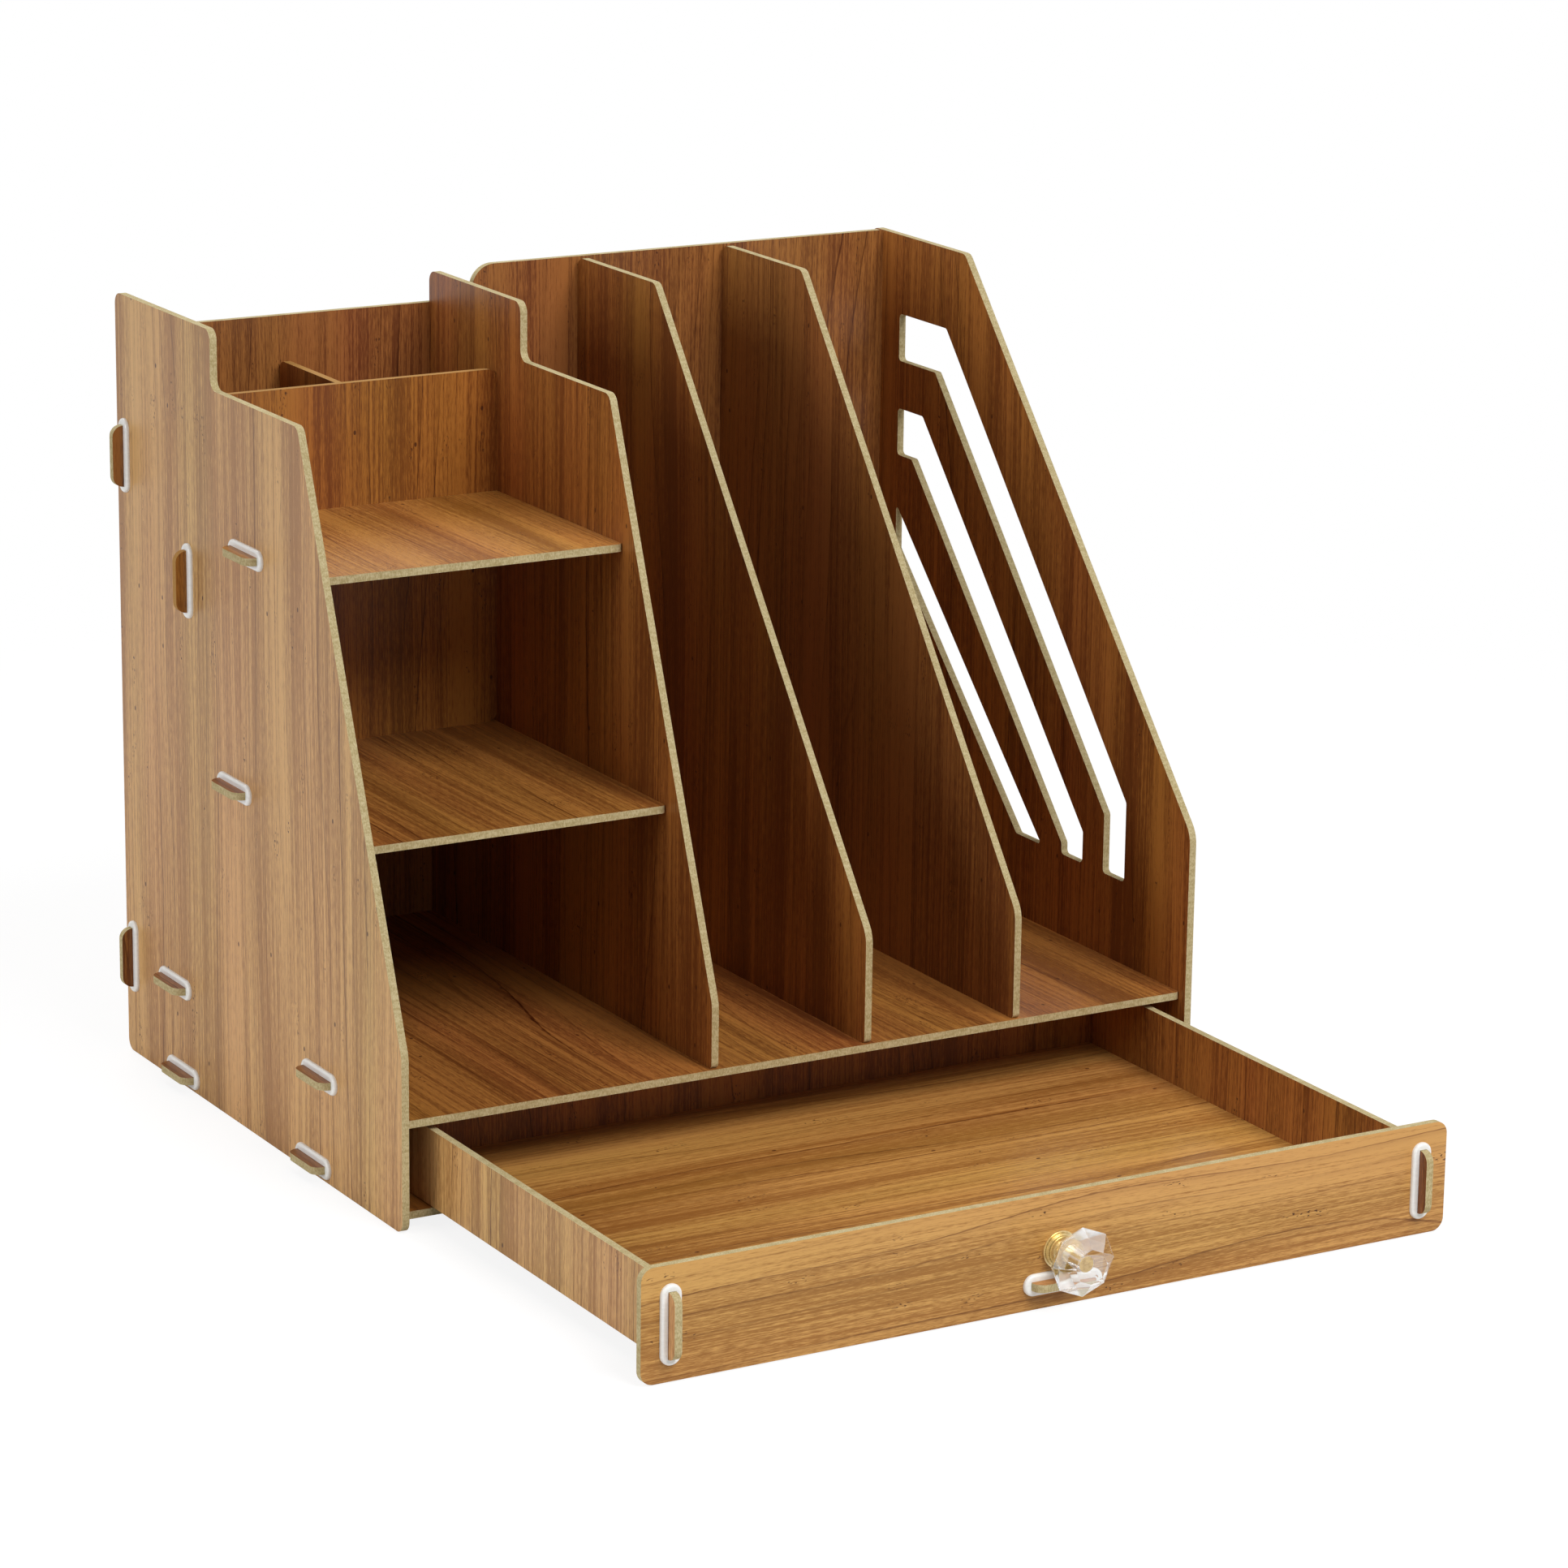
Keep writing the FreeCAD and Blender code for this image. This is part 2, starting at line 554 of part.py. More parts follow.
def shelf_outline(right, front, rear, right_tabs, left_tabs, rear_tabs=()):
    """A shelf between two uprights, seen from above: front edge, right, rear and left."""
    corners = [("dims.board", front, "dims.shelf_round"), (right, front, "dims.shelf_round")]
    for middle in right_tabs:
        corners += tab(right, middle, "+", "+")
    corners.append((right, rear))
    for middle in rear_tabs:
        corners += tab(rear, middle, "+", "-", upright=False)
    corners.append(("dims.board", rear))
    for middle in left_tabs:
        corners += tab("dims.board", middle, "-", "-")
    return corners


def make_bottom_panel():
    """The board that the drawer slides on."""
    tabs = ["dims.bottom_tab_front", "dims.bottom_tab_rear"]
    outline = shelf_outline(RIGHT_INNER, "dims.shelf_setback", BACK, tabs, tabs[::-1])
    place(board("bottom_panel", "XY_Plane", outline), "0", "0", "dims.floor_gap")


def make_main_shelf():
    """The full-width shelf over the drawer, with slots for the feet of the upright boards."""
    tabs = ["dims.main_tab_front", "dims.main_tab_rear"]
    outline = shelf_outline(RIGHT_INNER, "dims.shelf_setback", BACK, tabs, tabs[::-1])
    slots = [
        rectangle(f"({across} + {HALF})", deep, SLOT_SHORT, SLOT_LONG)
        for across in (PARTITION, DIVIDER_1, DIVIDER_2)
        for deep in ("dims.foot_front", "dims.foot_rear")
    ]
    place(board("main_shelf", "XY_Plane", outline, slots), "0", "0", MAIN_SHELF)


def make_second_shelf():
    """The column's middle shelf, which is also the floor of the pen boxes."""
    tabs = ["dims.second_tab"]
    outline = shelf_outline(PARTITION, "dims.second_shelf_front", BACK, tabs, tabs,
                            [CUBBY_MIDDLE])
    pen_middle = f"(({PEN_REAR} + {BACK}) / 2)"
    slots = [rectangle(CUBBY_MIDDLE, pen_middle, SLOT_SHORT, SLOT_LONG)]
    place(board("second_shelf", "XY_Plane", outline, slots), "0", "0", SECOND_SHELF)


def make_top_shelf():
    """The column's upper shelf, which ends at the pen boxes."""
    tabs = ["dims.top_tab"]
    outline = shelf_outline(PARTITION, "dims.top_shelf_front", "dims.pen_front_depth", tabs, tabs)
    place(board("top_shelf", "XY_Plane", outline), "0", "0", TOP_SHELF)


def make_pen_front():
    """The front board of the pen boxes, standing on the second shelf."""
    radius = "dims.pen_round"
    outline = [
        ("dims.board", SECOND_TOP, radius),
        (PARTITION, SECOND_TOP, radius),
        *tab(PARTITION, "dims.pen_front_tab", "+", "+"),
        (PARTITION, PEN_FRONT_TOP, radius),
        ("dims.board", PEN_FRONT_TOP, radius),
        *tab("dims.board", "dims.pen_front_tab", "-", "-"),
    ]
    body = board("pen_front", "XZ_Plane", outline)
    place(body, "0", "dims.pen_front_depth", "0")


def make_pen_divider():
    """The board between the two pen boxes."""
    pen_middle = f"(({PEN_REAR} + {BACK}) / 2)"
    radius = "dims.pen_round"
    outline = [
        (PEN_REAR, SECOND_TOP),
        *tab(SECOND_TOP, pen_middle, "-", "+", upright=False, reach="dims.board", radius=None),
        (BACK, SECOND_TOP),
        *tab(BACK, "dims.pen_divider_tab", "+", "+"),
        (BACK, PEN_DIVIDER_TOP, radius),
        (PEN_REAR, PEN_DIVIDER_TOP, radius),
    ]
    body = board("pen_divider", "YZ_Plane", outline)
    place(body, f"({CUBBY_MIDDLE} - {HALF})", "0", "0")


def make_drawer_front():
    """The drawer's face, which hangs in front of the main shelf and the bottom panel."""
    radius = "dims.drawer_round"
    top = "(dims.drawer_float + dims.drawer_front_height)"
    outline = [
        (DRAWER_END, "dims.drawer_float", radius),
        (DRAWER_FAR_END, "dims.drawer_float", radius),
        (DRAWER_FAR_END, top, radius),
        (DRAWER_END, top, radius),
    ]
    slots = [
        tall_slot(f"({DRAWER_LEFT} + {HALF})", "dims.drawer_tab_height"),
        tall_slot(f"({DRAWER_RIGHT} + {HALF})", "dims.drawer_tab_height"),
        flat_slot(MIDDLE, f"({DRAWER_BOTTOM} + {HALF})"),
    ]
    body = board("drawer_front", "XZ_Plane", outline, slots)
    hole = new_sketch(body, "screw_hole", "XZ_Plane")
    draw_circle(hole, MIDDLE, "dims.knob_height", "(dims.screw_radius + dims.screw_clearance)")
    pocket(body, hole)
    place(body, "0", DRAWER_FACE, "0", drawer=True)


def make_drawer_rear():
    """The drawer's rear board, as wide as its front, with a plain slot for each flush tab."""
    top = f"({DRAWER_BASE} + dims.drawer_wall)"
    radius = "dims.shelf_round"
    outline = [
        (DRAWER_END, DRAWER_BASE, radius),
        (DRAWER_FAR_END, DRAWER_BASE, radius),
        (DRAWER_FAR_END, top, radius),
        (DRAWER_END, top, radius),
    ]
    slot_long = "(dims.drawer_rear_tab + 2 * dims.fit_gap)"
    slots = [
        rectangle(f"({across} + {HALF})", "dims.drawer_tab_height", SLOT_SHORT, slot_long)
        for across in (DRAWER_LEFT, DRAWER_RIGHT)
    ]
    slots += [
        rectangle(across, f"({DRAWER_BOTTOM} + {HALF})", slot_long, SLOT_SHORT)
        for across in (BOTTOM_TAB_LEFT, BOTTOM_TAB_RIGHT)
    ]
    body = board("drawer_rear", "XZ_Plane", outline, slots)
    place(body, "0", DRAWER_REAR, "0", drawer=True)


def make_drawer_sides():
    """The drawer's two sides, with a long tab in front and a flush one at the rear."""
    front = f"({DRAWER_FACE} + dims.board)"
    top = f"({DRAWER_BASE} + dims.drawer_wall)"
    outline = [
        (front, DRAWER_BASE),
        (DRAWER_REAR, DRAWER_BASE),
        *rear_tab("dims.drawer_tab_height", "+", True),
        (DRAWER_REAR, top),
        (front, top),
        *tab(front, "dims.drawer_tab_height", "-", "-"),
    ]
    for label, across in (("drawer_side_left", DRAWER_LEFT), ("drawer_side_right", DRAWER_RIGHT)):
        place(board(label, "YZ_Plane", outline), across, "0", "0", drawer=True)


def make_drawer_bottom():
    """The drawer's bottom, held by one tab in the front and two flush ones in the rear."""
    front = f"({DRAWER_FACE} + dims.board)"
    left = f"({DRAWER_LEFT} + dims.board)"
    outline = [
        (left, front),
        *tab(front, MIDDLE, "-", "+", upright=False),
        (DRAWER_RIGHT, front),
        (DRAWER_RIGHT, DRAWER_REAR),
        *rear_tab(BOTTOM_TAB_RIGHT, "-", False),
        *rear_tab(BOTTOM_TAB_LEFT, "-", False),
        (left, DRAWER_REAR),
    ]
    place(board("drawer_bottom", "XY_Plane", outline), "0", "0", DRAWER_BOTTOM, drawer=True)


def make_clip():
    """The oval clip: a rounded ring on the board's face, pressed on round the tab.

    Its long way is X, and it stands up from z = 0.
    """
    body = doc.addObject("PartDesign::Body", "clip_pattern")
    rim = new_sketch(body, "rim", "XY_Plane")
    draw_oval(rim, "dims.clip_length", "dims.clip_width")
    pad(body, rim, "dims.clip_thick")
    height = value("dims.clip_thick")
    shape = body.Tip.Shape
    outer = [f"Edge{index}" for index, edge in enumerate(shape.Edges, start=1)
             if all(abs(vertex.Z - height) < TOUCH for vertex in edge.Vertexes)]
    fillet(body, outer, "dims.clip_round")
    opening = new_sketch(body, "opening", "XY_Plane")
    draw_polygon(opening, rectangle("0", "0", SLOT_LONG, SLOT_SHORT))
    pocket(body, opening)
    return body


# Turns of a clip's own axes: its rim's outward way, then its long way.
X_WAY = FreeCAD.Vector(1, 0, 0)
Y_WAY = FreeCAD.Vector(0, 1, 0)
Z_WAY = FreeCAD.Vector(0, 0, 1)


def turned(outward, along):
    """The rotation that turns +Z to outward and +X to along."""
    return FreeCAD.Rotation(along, outward.cross(along), outward, "ZXY")


def clip_set(label, clip, face, outward, spots, drawer=False):
    """One node with a clip round every tab that comes through one face of a board.

    face is the face's own coordinate, and each spot gives the tab's two other coordinates
    and the way that it is long.
    """
    copies = []
    for number, (first, second, along) in enumerate(spots, start=1):
        copy = doc.addObject("App::Link", f"{label}_{number}")
        copy.LinkedObject = clip
        copy.LinkTransform = False
        where = (face, first, second) if abs(outward.x) > 0 else (first, face, second)
        place(copy, *where, drawer=drawer, rotation=turned(outward, along))
        copies.append(copy)
    group = doc.addObject("Part::Compound", label)
    group.Label = label
    group.Links = copies
    nodes.append(group)


def make_clips():
    """A set of clips for each board that tabs come through."""
    clip = make_clip()
    shelf_spots = [
        ("dims.main_tab_front", f"({MAIN_SHELF} + {HALF})", Y_WAY),
        ("dims.main_tab_rear", f"({MAIN_SHELF} + {HALF})", Y_WAY),
        ("dims.bottom_tab_front", f"(dims.floor_gap + {HALF})", Y_WAY),
        ("dims.bottom_tab_rear", f"(dims.floor_gap + {HALF})", Y_WAY),
        (f"({BACK} + {HALF})", "dims.back_tab_low", Z_WAY),
        (f"({BACK} + {HALF})", BACK_TAB_HIGH, Z_WAY),
    ]
    column_spots = [
        ("dims.second_tab", f"({SECOND_SHELF} + {HALF})", Y_WAY),
        ("dims.top_tab", f"({TOP_SHELF} + {HALF})", Y_WAY),
        (f"(dims.pen_front_depth + {HALF})", "dims.pen_front_tab", Z_WAY),
    ]
    back_spots = [
        (f"({across} + {HALF})", height, Z_WAY)
        for across in (PARTITION, DIVIDER_1, DIVIDER_2)
        for height in ("dims.upright_tab_low", UPRIGHT_TAB_HIGH)
    ]
    back_spots.append((CUBBY_MIDDLE, f"({SECOND_SHELF} + {HALF})", X_WAY))
    back_spots.append((CUBBY_MIDDLE, "dims.pen_divider_tab", Z_WAY))
    drawer_spots = [
        (f"({DRAWER_LEFT} + {HALF})", "dims.drawer_tab_height", Z_WAY),
        (f"({DRAWER_RIGHT} + {HALF})", "dims.drawer_tab_height", Z_WAY),
        (MIDDLE, f"({DRAWER_BOTTOM} + {HALF})", X_WAY),
    ]
    clip_set("left_panel_clips", clip, "0", -X_WAY, shelf_spots + column_spots)
    clip_set("right_panel_clips", clip, "dims.outer_width", X_WAY, shelf_spots)
    clip_set("partition_clips", clip, f"({PARTITION} + dims.board)", X_WAY, column_spots)
    clip_set("back_panel_clips", clip, f"({BACK} + dims.board)", Y_WAY, back_spots)
    clip_set("drawer_front_clips", clip, DRAWER_FACE, -Y_WAY, drawer_spots, drawer=True)


def place_on_knob(body):
    """Puts a piece that is drawn along +Z from the drawer front's face on the knob's axis."""
    rotation = FreeCAD.Rotation(X_WAY, 90)
    place(body, MIDDLE, DRAWER_FACE, "dims.knob_height", drawer=True, rotation=rotation)


def make_knob_base():
    """The turned brass rose, neck, collar and post, with a blind hole for the screw."""
    body = new_body("knob_base")
    profile = new_sketch(body, "profile", "XZ_Plane")
    hole = "dims.screw_radius"
    hole_end = "(dims.screw_length - dims.board + dims.fit_gap)"
    post_end = "(dims.crystal_start + dims.post_depth)"
    corners = [("0", hole_end), (hole, hole_end), (hole, "0")]
    for ring in range(ROSE_RINGS):
        radius = f"(dims.rose_radius - {ring} * dims.rose_shrink)"
        low = f"{ring} * dims.rose_ring"
        high = f"{ring + 1} * dims.rose_ring"
        inside = f"{radius} - dims.rose_shrink - dims.rose_groove"
        corners.append((radius, low))
        corners.append((radius, f"{high} - dims.rose_groove"))
        corners.append((inside, f"{high} - dims.rose_groove"))
        if ring < ROSE_RINGS - 1:
            corners.append((inside, high))
    collar = "(dims.crystal_start - dims.cup_height)"
    corners += [
        ("dims.neck_radius", f"{ROSE_RINGS} * dims.rose_ring"),
        ("dims.neck_radius", collar),
        ("dims.cup_radius", collar),
        ("dims.cup_radius", "dims.crystal_start"),
        ("dims.post_radius", "dims.crystal_start"),
        ("dims.post_radius", post_end),
        ("0", post_end),
    ]
    draw_polygon(profile, corners)
    turn = body.newObject("PartDesign::Revolution", "knob_base_turning")
    turn.Profile = profile
    turn.ReferenceAxis = (profile, ["V_Axis"])
    turn.Angle = 360
    doc.recompute()
    place_on_knob(body)


def make_knob_crystal():
    """The faceted crystal: octagons of several sizes joined by flat facets, with a blind hole."""
    body = new_body("knob_crystal")
    start = "dims.crystal_start"
    girdle = f"{start} + dims.pavilion"
    band = f"{girdle} + dims.girdle_band"
    ring = f"{band} + dims.crown_low"
    levels = [
        (start, "dims.crystal_back"),
        (girdle, "dims.crystal_girdle"),
        (band, "dims.crystal_girdle"),
        (ring, "dims.crystal_ring"),
        (f"{ring} + dims.crown_high", "dims.crystal_table"),
    ]
    sections = []
    for number, (lift, radius) in enumerate(levels, start=1):
        section = new_sketch(body, f"section_{number}", "XY_Plane", lift)
        step = 360 / FACETS
        draw_polygon(section, [
            (f"{radius} * cos({index * step})", f"{radius} * sin({index * step})")
            for index in range(FACETS)
        ])
        sections.append(section)
    loft = body.newObject("PartDesign::AdditiveLoft", "crystal_facets")
    loft.Profile = sections[0]
    loft.Sections = sections[1:]
    loft.Ruled = True
    doc.recompute()
    bore = new_sketch(body, "bore", "XY_Plane", start)
    draw_circle(bore, "0", "0", "(dims.post_radius + dims.fit_gap)")
    pocket(body, bore, "dims.post_depth + dims.fit_gap", backwards=True)
    place_on_knob(body)


def make_knob_screw():
    """The screw from inside the drawer, with a domed head and a cross recess."""
    body = new_body("knob_screw")
    shank = new_sketch(body, "shank", "XY_Plane")
    draw_circle(shank, "0", "0", "dims.screw_radius - dims.fit_gap")
    pad(body, shank, "dims.screw_length")
    head = new_sketch(body, "head", "XY_Plane")
    draw_circle(head, "0", "0", "dims.screw_head_radius")
    pad(body, head, "dims.screw_head", backwards=True)
    height = value("dims.screw_head")
    rim = [f"Edge{index}" for index, edge in enumerate(body.Tip.Shape.Edges, start=1)
           if all(abs(vertex.Z + height) < TOUCH for vertex in edge.Vertexes)]
    fillet(body, rim, "dims.screw_dome")
    for number, (width, height) in enumerate((("dims.screw_head_radius", "dims.recess_width"),
                                              ("dims.recess_width", "dims.screw_head_radius"))):
        arm = new_sketch(body, f"recess_{number}", "XY_Plane", "-dims.screw_head")
        draw_polygon(arm, rectangle("0", "0", width, height))
        pocket(body, arm, "dims.recess_depth", backwards=True)
    place(body, MIDDLE, f"({DRAWER_FACE} + dims.board)", "dims.knob_height", drawer=True,
          rotation=FreeCAD.Rotation(X_WAY, 90))


def check_and_write():
    """Stops on any failed object, then writes each node to its own file."""
    doc.recompute()
    for item in doc.Objects:
        if "Invalid" in item.State or "Error" in item.State:
            raise RuntimeError(f"{item.Label} failed: {item.State}")
    os.makedirs(PARTS_FOLDER, exist_ok=True)
    for node in nodes:
        shape = node.Shape
        if shape.isNull() or not shape.isValid() or not shape.Solids:
            raise RuntimeError(f"{node.Label} has no valid solid")
        shape.exportStep(os.path.join(PARTS_FOLDER, f"{node.Label}.step"))
        box = shape.BoundBox
        print(f"{node.Label}: {len(shape.Solids)} solids, {shape.Volume:.0f} mm3, "
              f"x {box.XMin:.2f} {box.XMax:.2f}, y {box.YMin:.2f} {box.YMax:.2f}, "
              f"z {box.ZMin:.2f} {box.ZMax:.2f}")


make_left_panel()
make_right_panel()
make_middle_partition()
make_dividers()
make_back_panel()
make_bottom_panel()
make_main_shelf()
make_second_shelf()
make_top_shelf()
make_pen_front()
make_pen_divider()
make_drawer_front()
make_drawer_rear()
make_drawer_sides()
make_drawer_bottom()
make_clips()
make_knob_base()
make_knob_crystal()
make_knob_screw()
check_and_write()
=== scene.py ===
import math

import bpy
from mathutils import Matrix, Vector


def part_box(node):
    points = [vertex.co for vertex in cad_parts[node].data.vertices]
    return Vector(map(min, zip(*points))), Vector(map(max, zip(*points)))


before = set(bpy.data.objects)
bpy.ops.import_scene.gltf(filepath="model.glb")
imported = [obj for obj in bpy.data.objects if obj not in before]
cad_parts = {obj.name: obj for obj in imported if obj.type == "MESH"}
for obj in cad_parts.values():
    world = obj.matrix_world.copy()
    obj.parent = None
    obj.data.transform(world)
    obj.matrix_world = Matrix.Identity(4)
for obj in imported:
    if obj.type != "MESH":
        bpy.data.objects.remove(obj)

bl_info = {
    "name": "Desk Organizer Looks",
    "version": (1, 0, 0),
    "blender": (4, 5, 0),
    "location": "View3D > Sidebar > Organizer",
    "description": "Dresses the boards, clips and knob of a desk organizer and sets up its stage",
    "category": "Object",
}

MM = 0.001

# Each board: the axis of its thickness, the axis across the grain and the axis along the
# grain, where 0 is X, 1 is Y and 2 is Z. Then the painted light of its low and its high
# broad face, from the darker, redder painted shade of the inward faces at 0 to the paler,
# painted lit gold of the outward faces at 1, and its lightness and its saturation against
# the others.
BOARDS = {
    "left_panel": (0, 1, 2, 1.00, 0.00, 1.08, 0.90),
    "right_panel": (0, 1, 2, 0.00, 1.00, 1.16, 1.00),
    "middle_partition": (0, 1, 2, 0.00, 0.00, 1.10, 1.00),
    "file_divider_left": (0, 1, 2, 0.00, 0.00, 0.98, 1.00),
    "file_divider_right": (0, 1, 2, 0.00, 0.00, 0.98, 0.98),
    "back_panel": (1, 0, 2, 0.00, 1.00, 0.94, 0.98),
    "bottom_panel": (2, 0, 1, 0.00, 0.00, 0.96, 1.00),
    "main_shelf": (2, 0, 1, 0.00, 0.10, 1.06, 1.00),
    "second_shelf": (2, 0, 1, 0.00, 0.15, 1.10, 1.00),
    "top_shelf": (2, 0, 1, 0.00, 0.35, 1.14, 1.02),
    "pen_front": (1, 0, 2, 0.05, 0.00, 1.00, 1.02),
    "pen_divider": (0, 1, 2, 0.00, 0.00, 1.04, 1.00),
    "drawer_front": (1, 2, 0, 1.00, 0.20, 1.00, 0.98),
    "drawer_rear": (1, 0, 2, 0.00, 1.00, 0.96, 1.00),
    "drawer_side_left": (0, 1, 2, 1.00, 0.00, 1.08, 0.92),
    "drawer_side_right": (0, 1, 2, 0.00, 1.00, 1.02, 1.00),
    "drawer_bottom": (2, 1, 0, 0.60, 0.66, 1.10, 1.00),
}
# The edges of the pen boxes' inner boards are stained like their faces, nearly opaquely.
STAINED_EDGES = ("pen_front", "pen_divider")
STAIN_COVER = 0.85
CLIP_SETS = (
    "left_panel_clips",
    "right_panel_clips",
    "partition_clips",
    "back_panel_clips",
    "drawer_front_clips",
)

# Each board is cut from another place of the veneer: the steps between two boards, in mm.
CUT_STEP = (83.0, 611.0, 17.0)

# The layers of the grain, whose widths are properties: how far a spot of each reaches along
# the grain in mm, its detail, its roughness and its share of the tone.
GRAIN_LAYERS = {
    "band": (700.0, 2.0, 0.5, 0.34),
    "streak": (240.0, 3.0, 0.6, 0.18),
    "vein": (110.0, 2.0, 0.6, 0.23),
    "fibre": (5.0, 2.0, 0.65, 0.25),
}
# The tones between which the grain goes from its dark to its light colour.
GRAIN_RANGE = (0.435, 0.565)

# Noise patterns of the grain. Each: the size of its spots across the grain, along it and
# through the veneer in mm, then its detail and its roughness.
WANDER = ((70.0, 420.0, 1.0), 1.0, 0.5)
BOW = ((60.0, 330.0, 1.0), 1.0, 0.5)
FRAY = ((1.6, 9.0, 1.0), 1.0, 0.5)
PATCH = ((14.0, 150.0, 1.0), 1.0, 0.5)
CLUSTER = ((6.0, 30.0, 1.0), 0.0, 0.5)
# How far a band of one hue reaches along the grain, in mm.
HUE_REACH = 520.0

# A growth ring runs from 0 to 1: where its rise, its crest and its fall start and end, and
# their strength at both.
RING_PARTS = (
    (0.45, 0.95, 0.0, 0.26),
    (0.88, 0.94, 0.0, 1.0),
    (0.95, 0.99, 1.0, 0.0),
)
# How many rings slow and quick noise move a ring, and where its dark crest starts to show.
RING_BOW = 7.0
RING_FRAY = 0.10
PATCH_RANGE = (0.32, 0.52)

# Where noise is high enough for a cluster of pores and for a pore in it.
CLUSTER_RANGE = (0.69, 0.78)
PORE_RANGE = (0.64, 0.70)
PORE_COVER = 0.9
# Pinholes lie further apart along the grain, and this share of the places has none.
PIN_STRETCH = 0.6
PIN_LEFT_OUT = 0.6
PIN_CORE = 0.6

# How deep pores and growth lines lie against the fibres, how much the fibres change the
# lacquer's roughness, and how far the wood's hue turns.
PORE_DEPTH = 0.8
LINE_DEPTH = 0.2
GLOSS_SPREAD = 0.16
HUE_SPREAD = 0.028
HUE_UNTURNED = 0.5

# A lacquer's refractive index is about 1.5. It is lowered to the photograph's weak shine.
LACQUER_IOR = 1.37

# A face whose normal has at least this share along the board's thickness is a broad one.
BROAD = 0.8

# The bare edge: noise patterns of its specks and clumps, the specks' share of the tone, and
# the tones between which it goes from dark to light. Its real fibres are about 0.1 mm wide,
# too fine to show, so the specks are drawn coarser.
SPECK = ((0.45, 0.45, 1.0), 2.0, 0.6)
CLUMP = ((4.0, 4.0, 1.0), 1.0, 0.5)
SPECK_SHARE = 0.7
EDGE_RANGE = (0.34, 0.66)

# The clips: noise patterns of the flow marks and of the mould's skin, where noise is high
# enough for a mark, the least roughness and how much the skin adds, and the skin's depth in
# mm. The real skin is too fine to show, so it is drawn coarser. Polystyrene's refractive
# index is about 1.59, and is matched a little lower.
FLOW = ((3.5, 3.5, 1.0), 2.0, 0.5)
SKIN = ((0.35, 0.35, 1.0), 2.0, 0.5)
FLOW_RANGE = (0.35, 0.65)
CLIP_ROUGHNESS = 0.14
SKIN_SPREAD = 0.04
SKIN_DEPTH = 0.0008
CLIP_IOR = 1.55

# The turned metals: the noise pattern of their changes of tone, where noise is high enough
# for the darker tone and its share there, how much it adds to the roughness, and the depth
# of the turning marks in mm. Then how metallic and how rough each metal is.
CLOUD = ((1.8, 1.8, 1.0), 3.0, 0.6)
CLOUD_RANGE = (0.42, 0.72, 0.0, 0.6)
CLOUD_SPREAD = 0.14
TURNING_DEPTH = 0.002
BRASS_FINISH = (0.85, 0.22)
STEEL_FINISH = (1.0, 0.24)

# The crystal: the noise pattern of its polishing waves, the noise between which they change
# its tint, and their depth in mm.
WAVE = ((2.4, 2.4, 1.0), 2.0, 0.5)
WAVE_RANGE = (0.3, 0.7)
WAVE_DEPTH = 0.0005
# Normals are rounded to this step, so that each facet draws one number for its veil. A
# number below the least one leaves the facet clear.
FACET_STEP = (0.2, 0.2, 0.2)
LEAST_VEILED = 0.2
# How far a rounded normal leaves the facet's own on an arris, and how cloudy that
# makes it: the milky line there is a painted highlight.
ARRIS_HIGHLIGHT_RANGE = (0.004, 0.05, 0.0, 0.7)
# A facet whose normal has this share along Y looks straight to the front or to the back,
# and the front one keeps this share of its clouds.
STRAIGHT = 0.9
FRONT_CLOUDS = 0.35
# The brass that it touches lies within this radius, in mm.
CONTACT_RADIUS = 5.4
# Rays that have bounced more often than this pass through it like light does, at this share.
DEEPEST_RAY = 4.5
PASSING_SHARE = 0.9
# Crystal glass has a refractive index of about 1.5. In the photograph the post looks almost
# unbent behind the facets, so it is lowered to match.
CRYSTAL_IOR = 1.15

# The floor: the noise pattern of its roller texture, the noise between which it goes from
# light to dark, and the shares of its radius between which it fades out.
ROLLER = ((4.0, 4.0, 1.0), 2.0, 0.5)
ROLLER_RANGE = (0.3, 0.7)
FADE_START = 0.4
FADE_END = 0.98

# Where the lamps stand, and the point that they face, in metres.
LAMP_PLACES = {
    "front": (0.35, -1.63, 1.86),
    "left": (-2.25, 0.0, 0.96),
    "rear": (0.0, 1.7, 1.84),
}
LAMP_TARGET = (0.0, 0.0, 0.14)

# The camera's place in metres, and its turn, its tilt and its slight roll in degrees.
CAMERA_PLACE = (-1.0377, -1.7943, 0.7154)
CAMERA_ANGLES = (30.082, 15.396, 0.743)
SENSOR_WIDTH = 36.0

# The floor lies just under the object, in metres.
FLOOR_DROP = -0.2 * MM
WHITE = (1.0, 1.0, 1.0, 1.0)


def linear(code):
    """The linear RGBA of a six-digit sRGB hex colour."""
    channels = [int(code[index:index + 2], 16) / 255 for index in (1, 3, 5)]
    return tuple(
        channel / 12.92 if channel <= 0.04045 else ((channel + 0.055) / 1.055) ** 2.4
        for channel in channels
    ) + (1.0,)


def colour(name, description, code):
    """A colour property with a hex default."""
    return bpy.props.FloatVectorProperty(
        name=name, description=description, subtype="COLOR", size=4, min=0, max=1,
        default=linear(code))


def length(name, description, size):
    """A length property in metres, with its default in millimetres."""
    return bpy.props.FloatProperty(
        name=name, description=description, subtype="DISTANCE", unit="LENGTH", min=0,
        default=size * MM)


def share(name, description, size):
    """A property between nought and one."""
    return bpy.props.FloatProperty(
        name=name, description=description, subtype="FACTOR", min=0, max=1, default=size)


def power(name, description, watts):
    """A lamp's power in watts."""
    return bpy.props.FloatProperty(
        name=name, description=description, unit="POWER", min=0, default=watts)


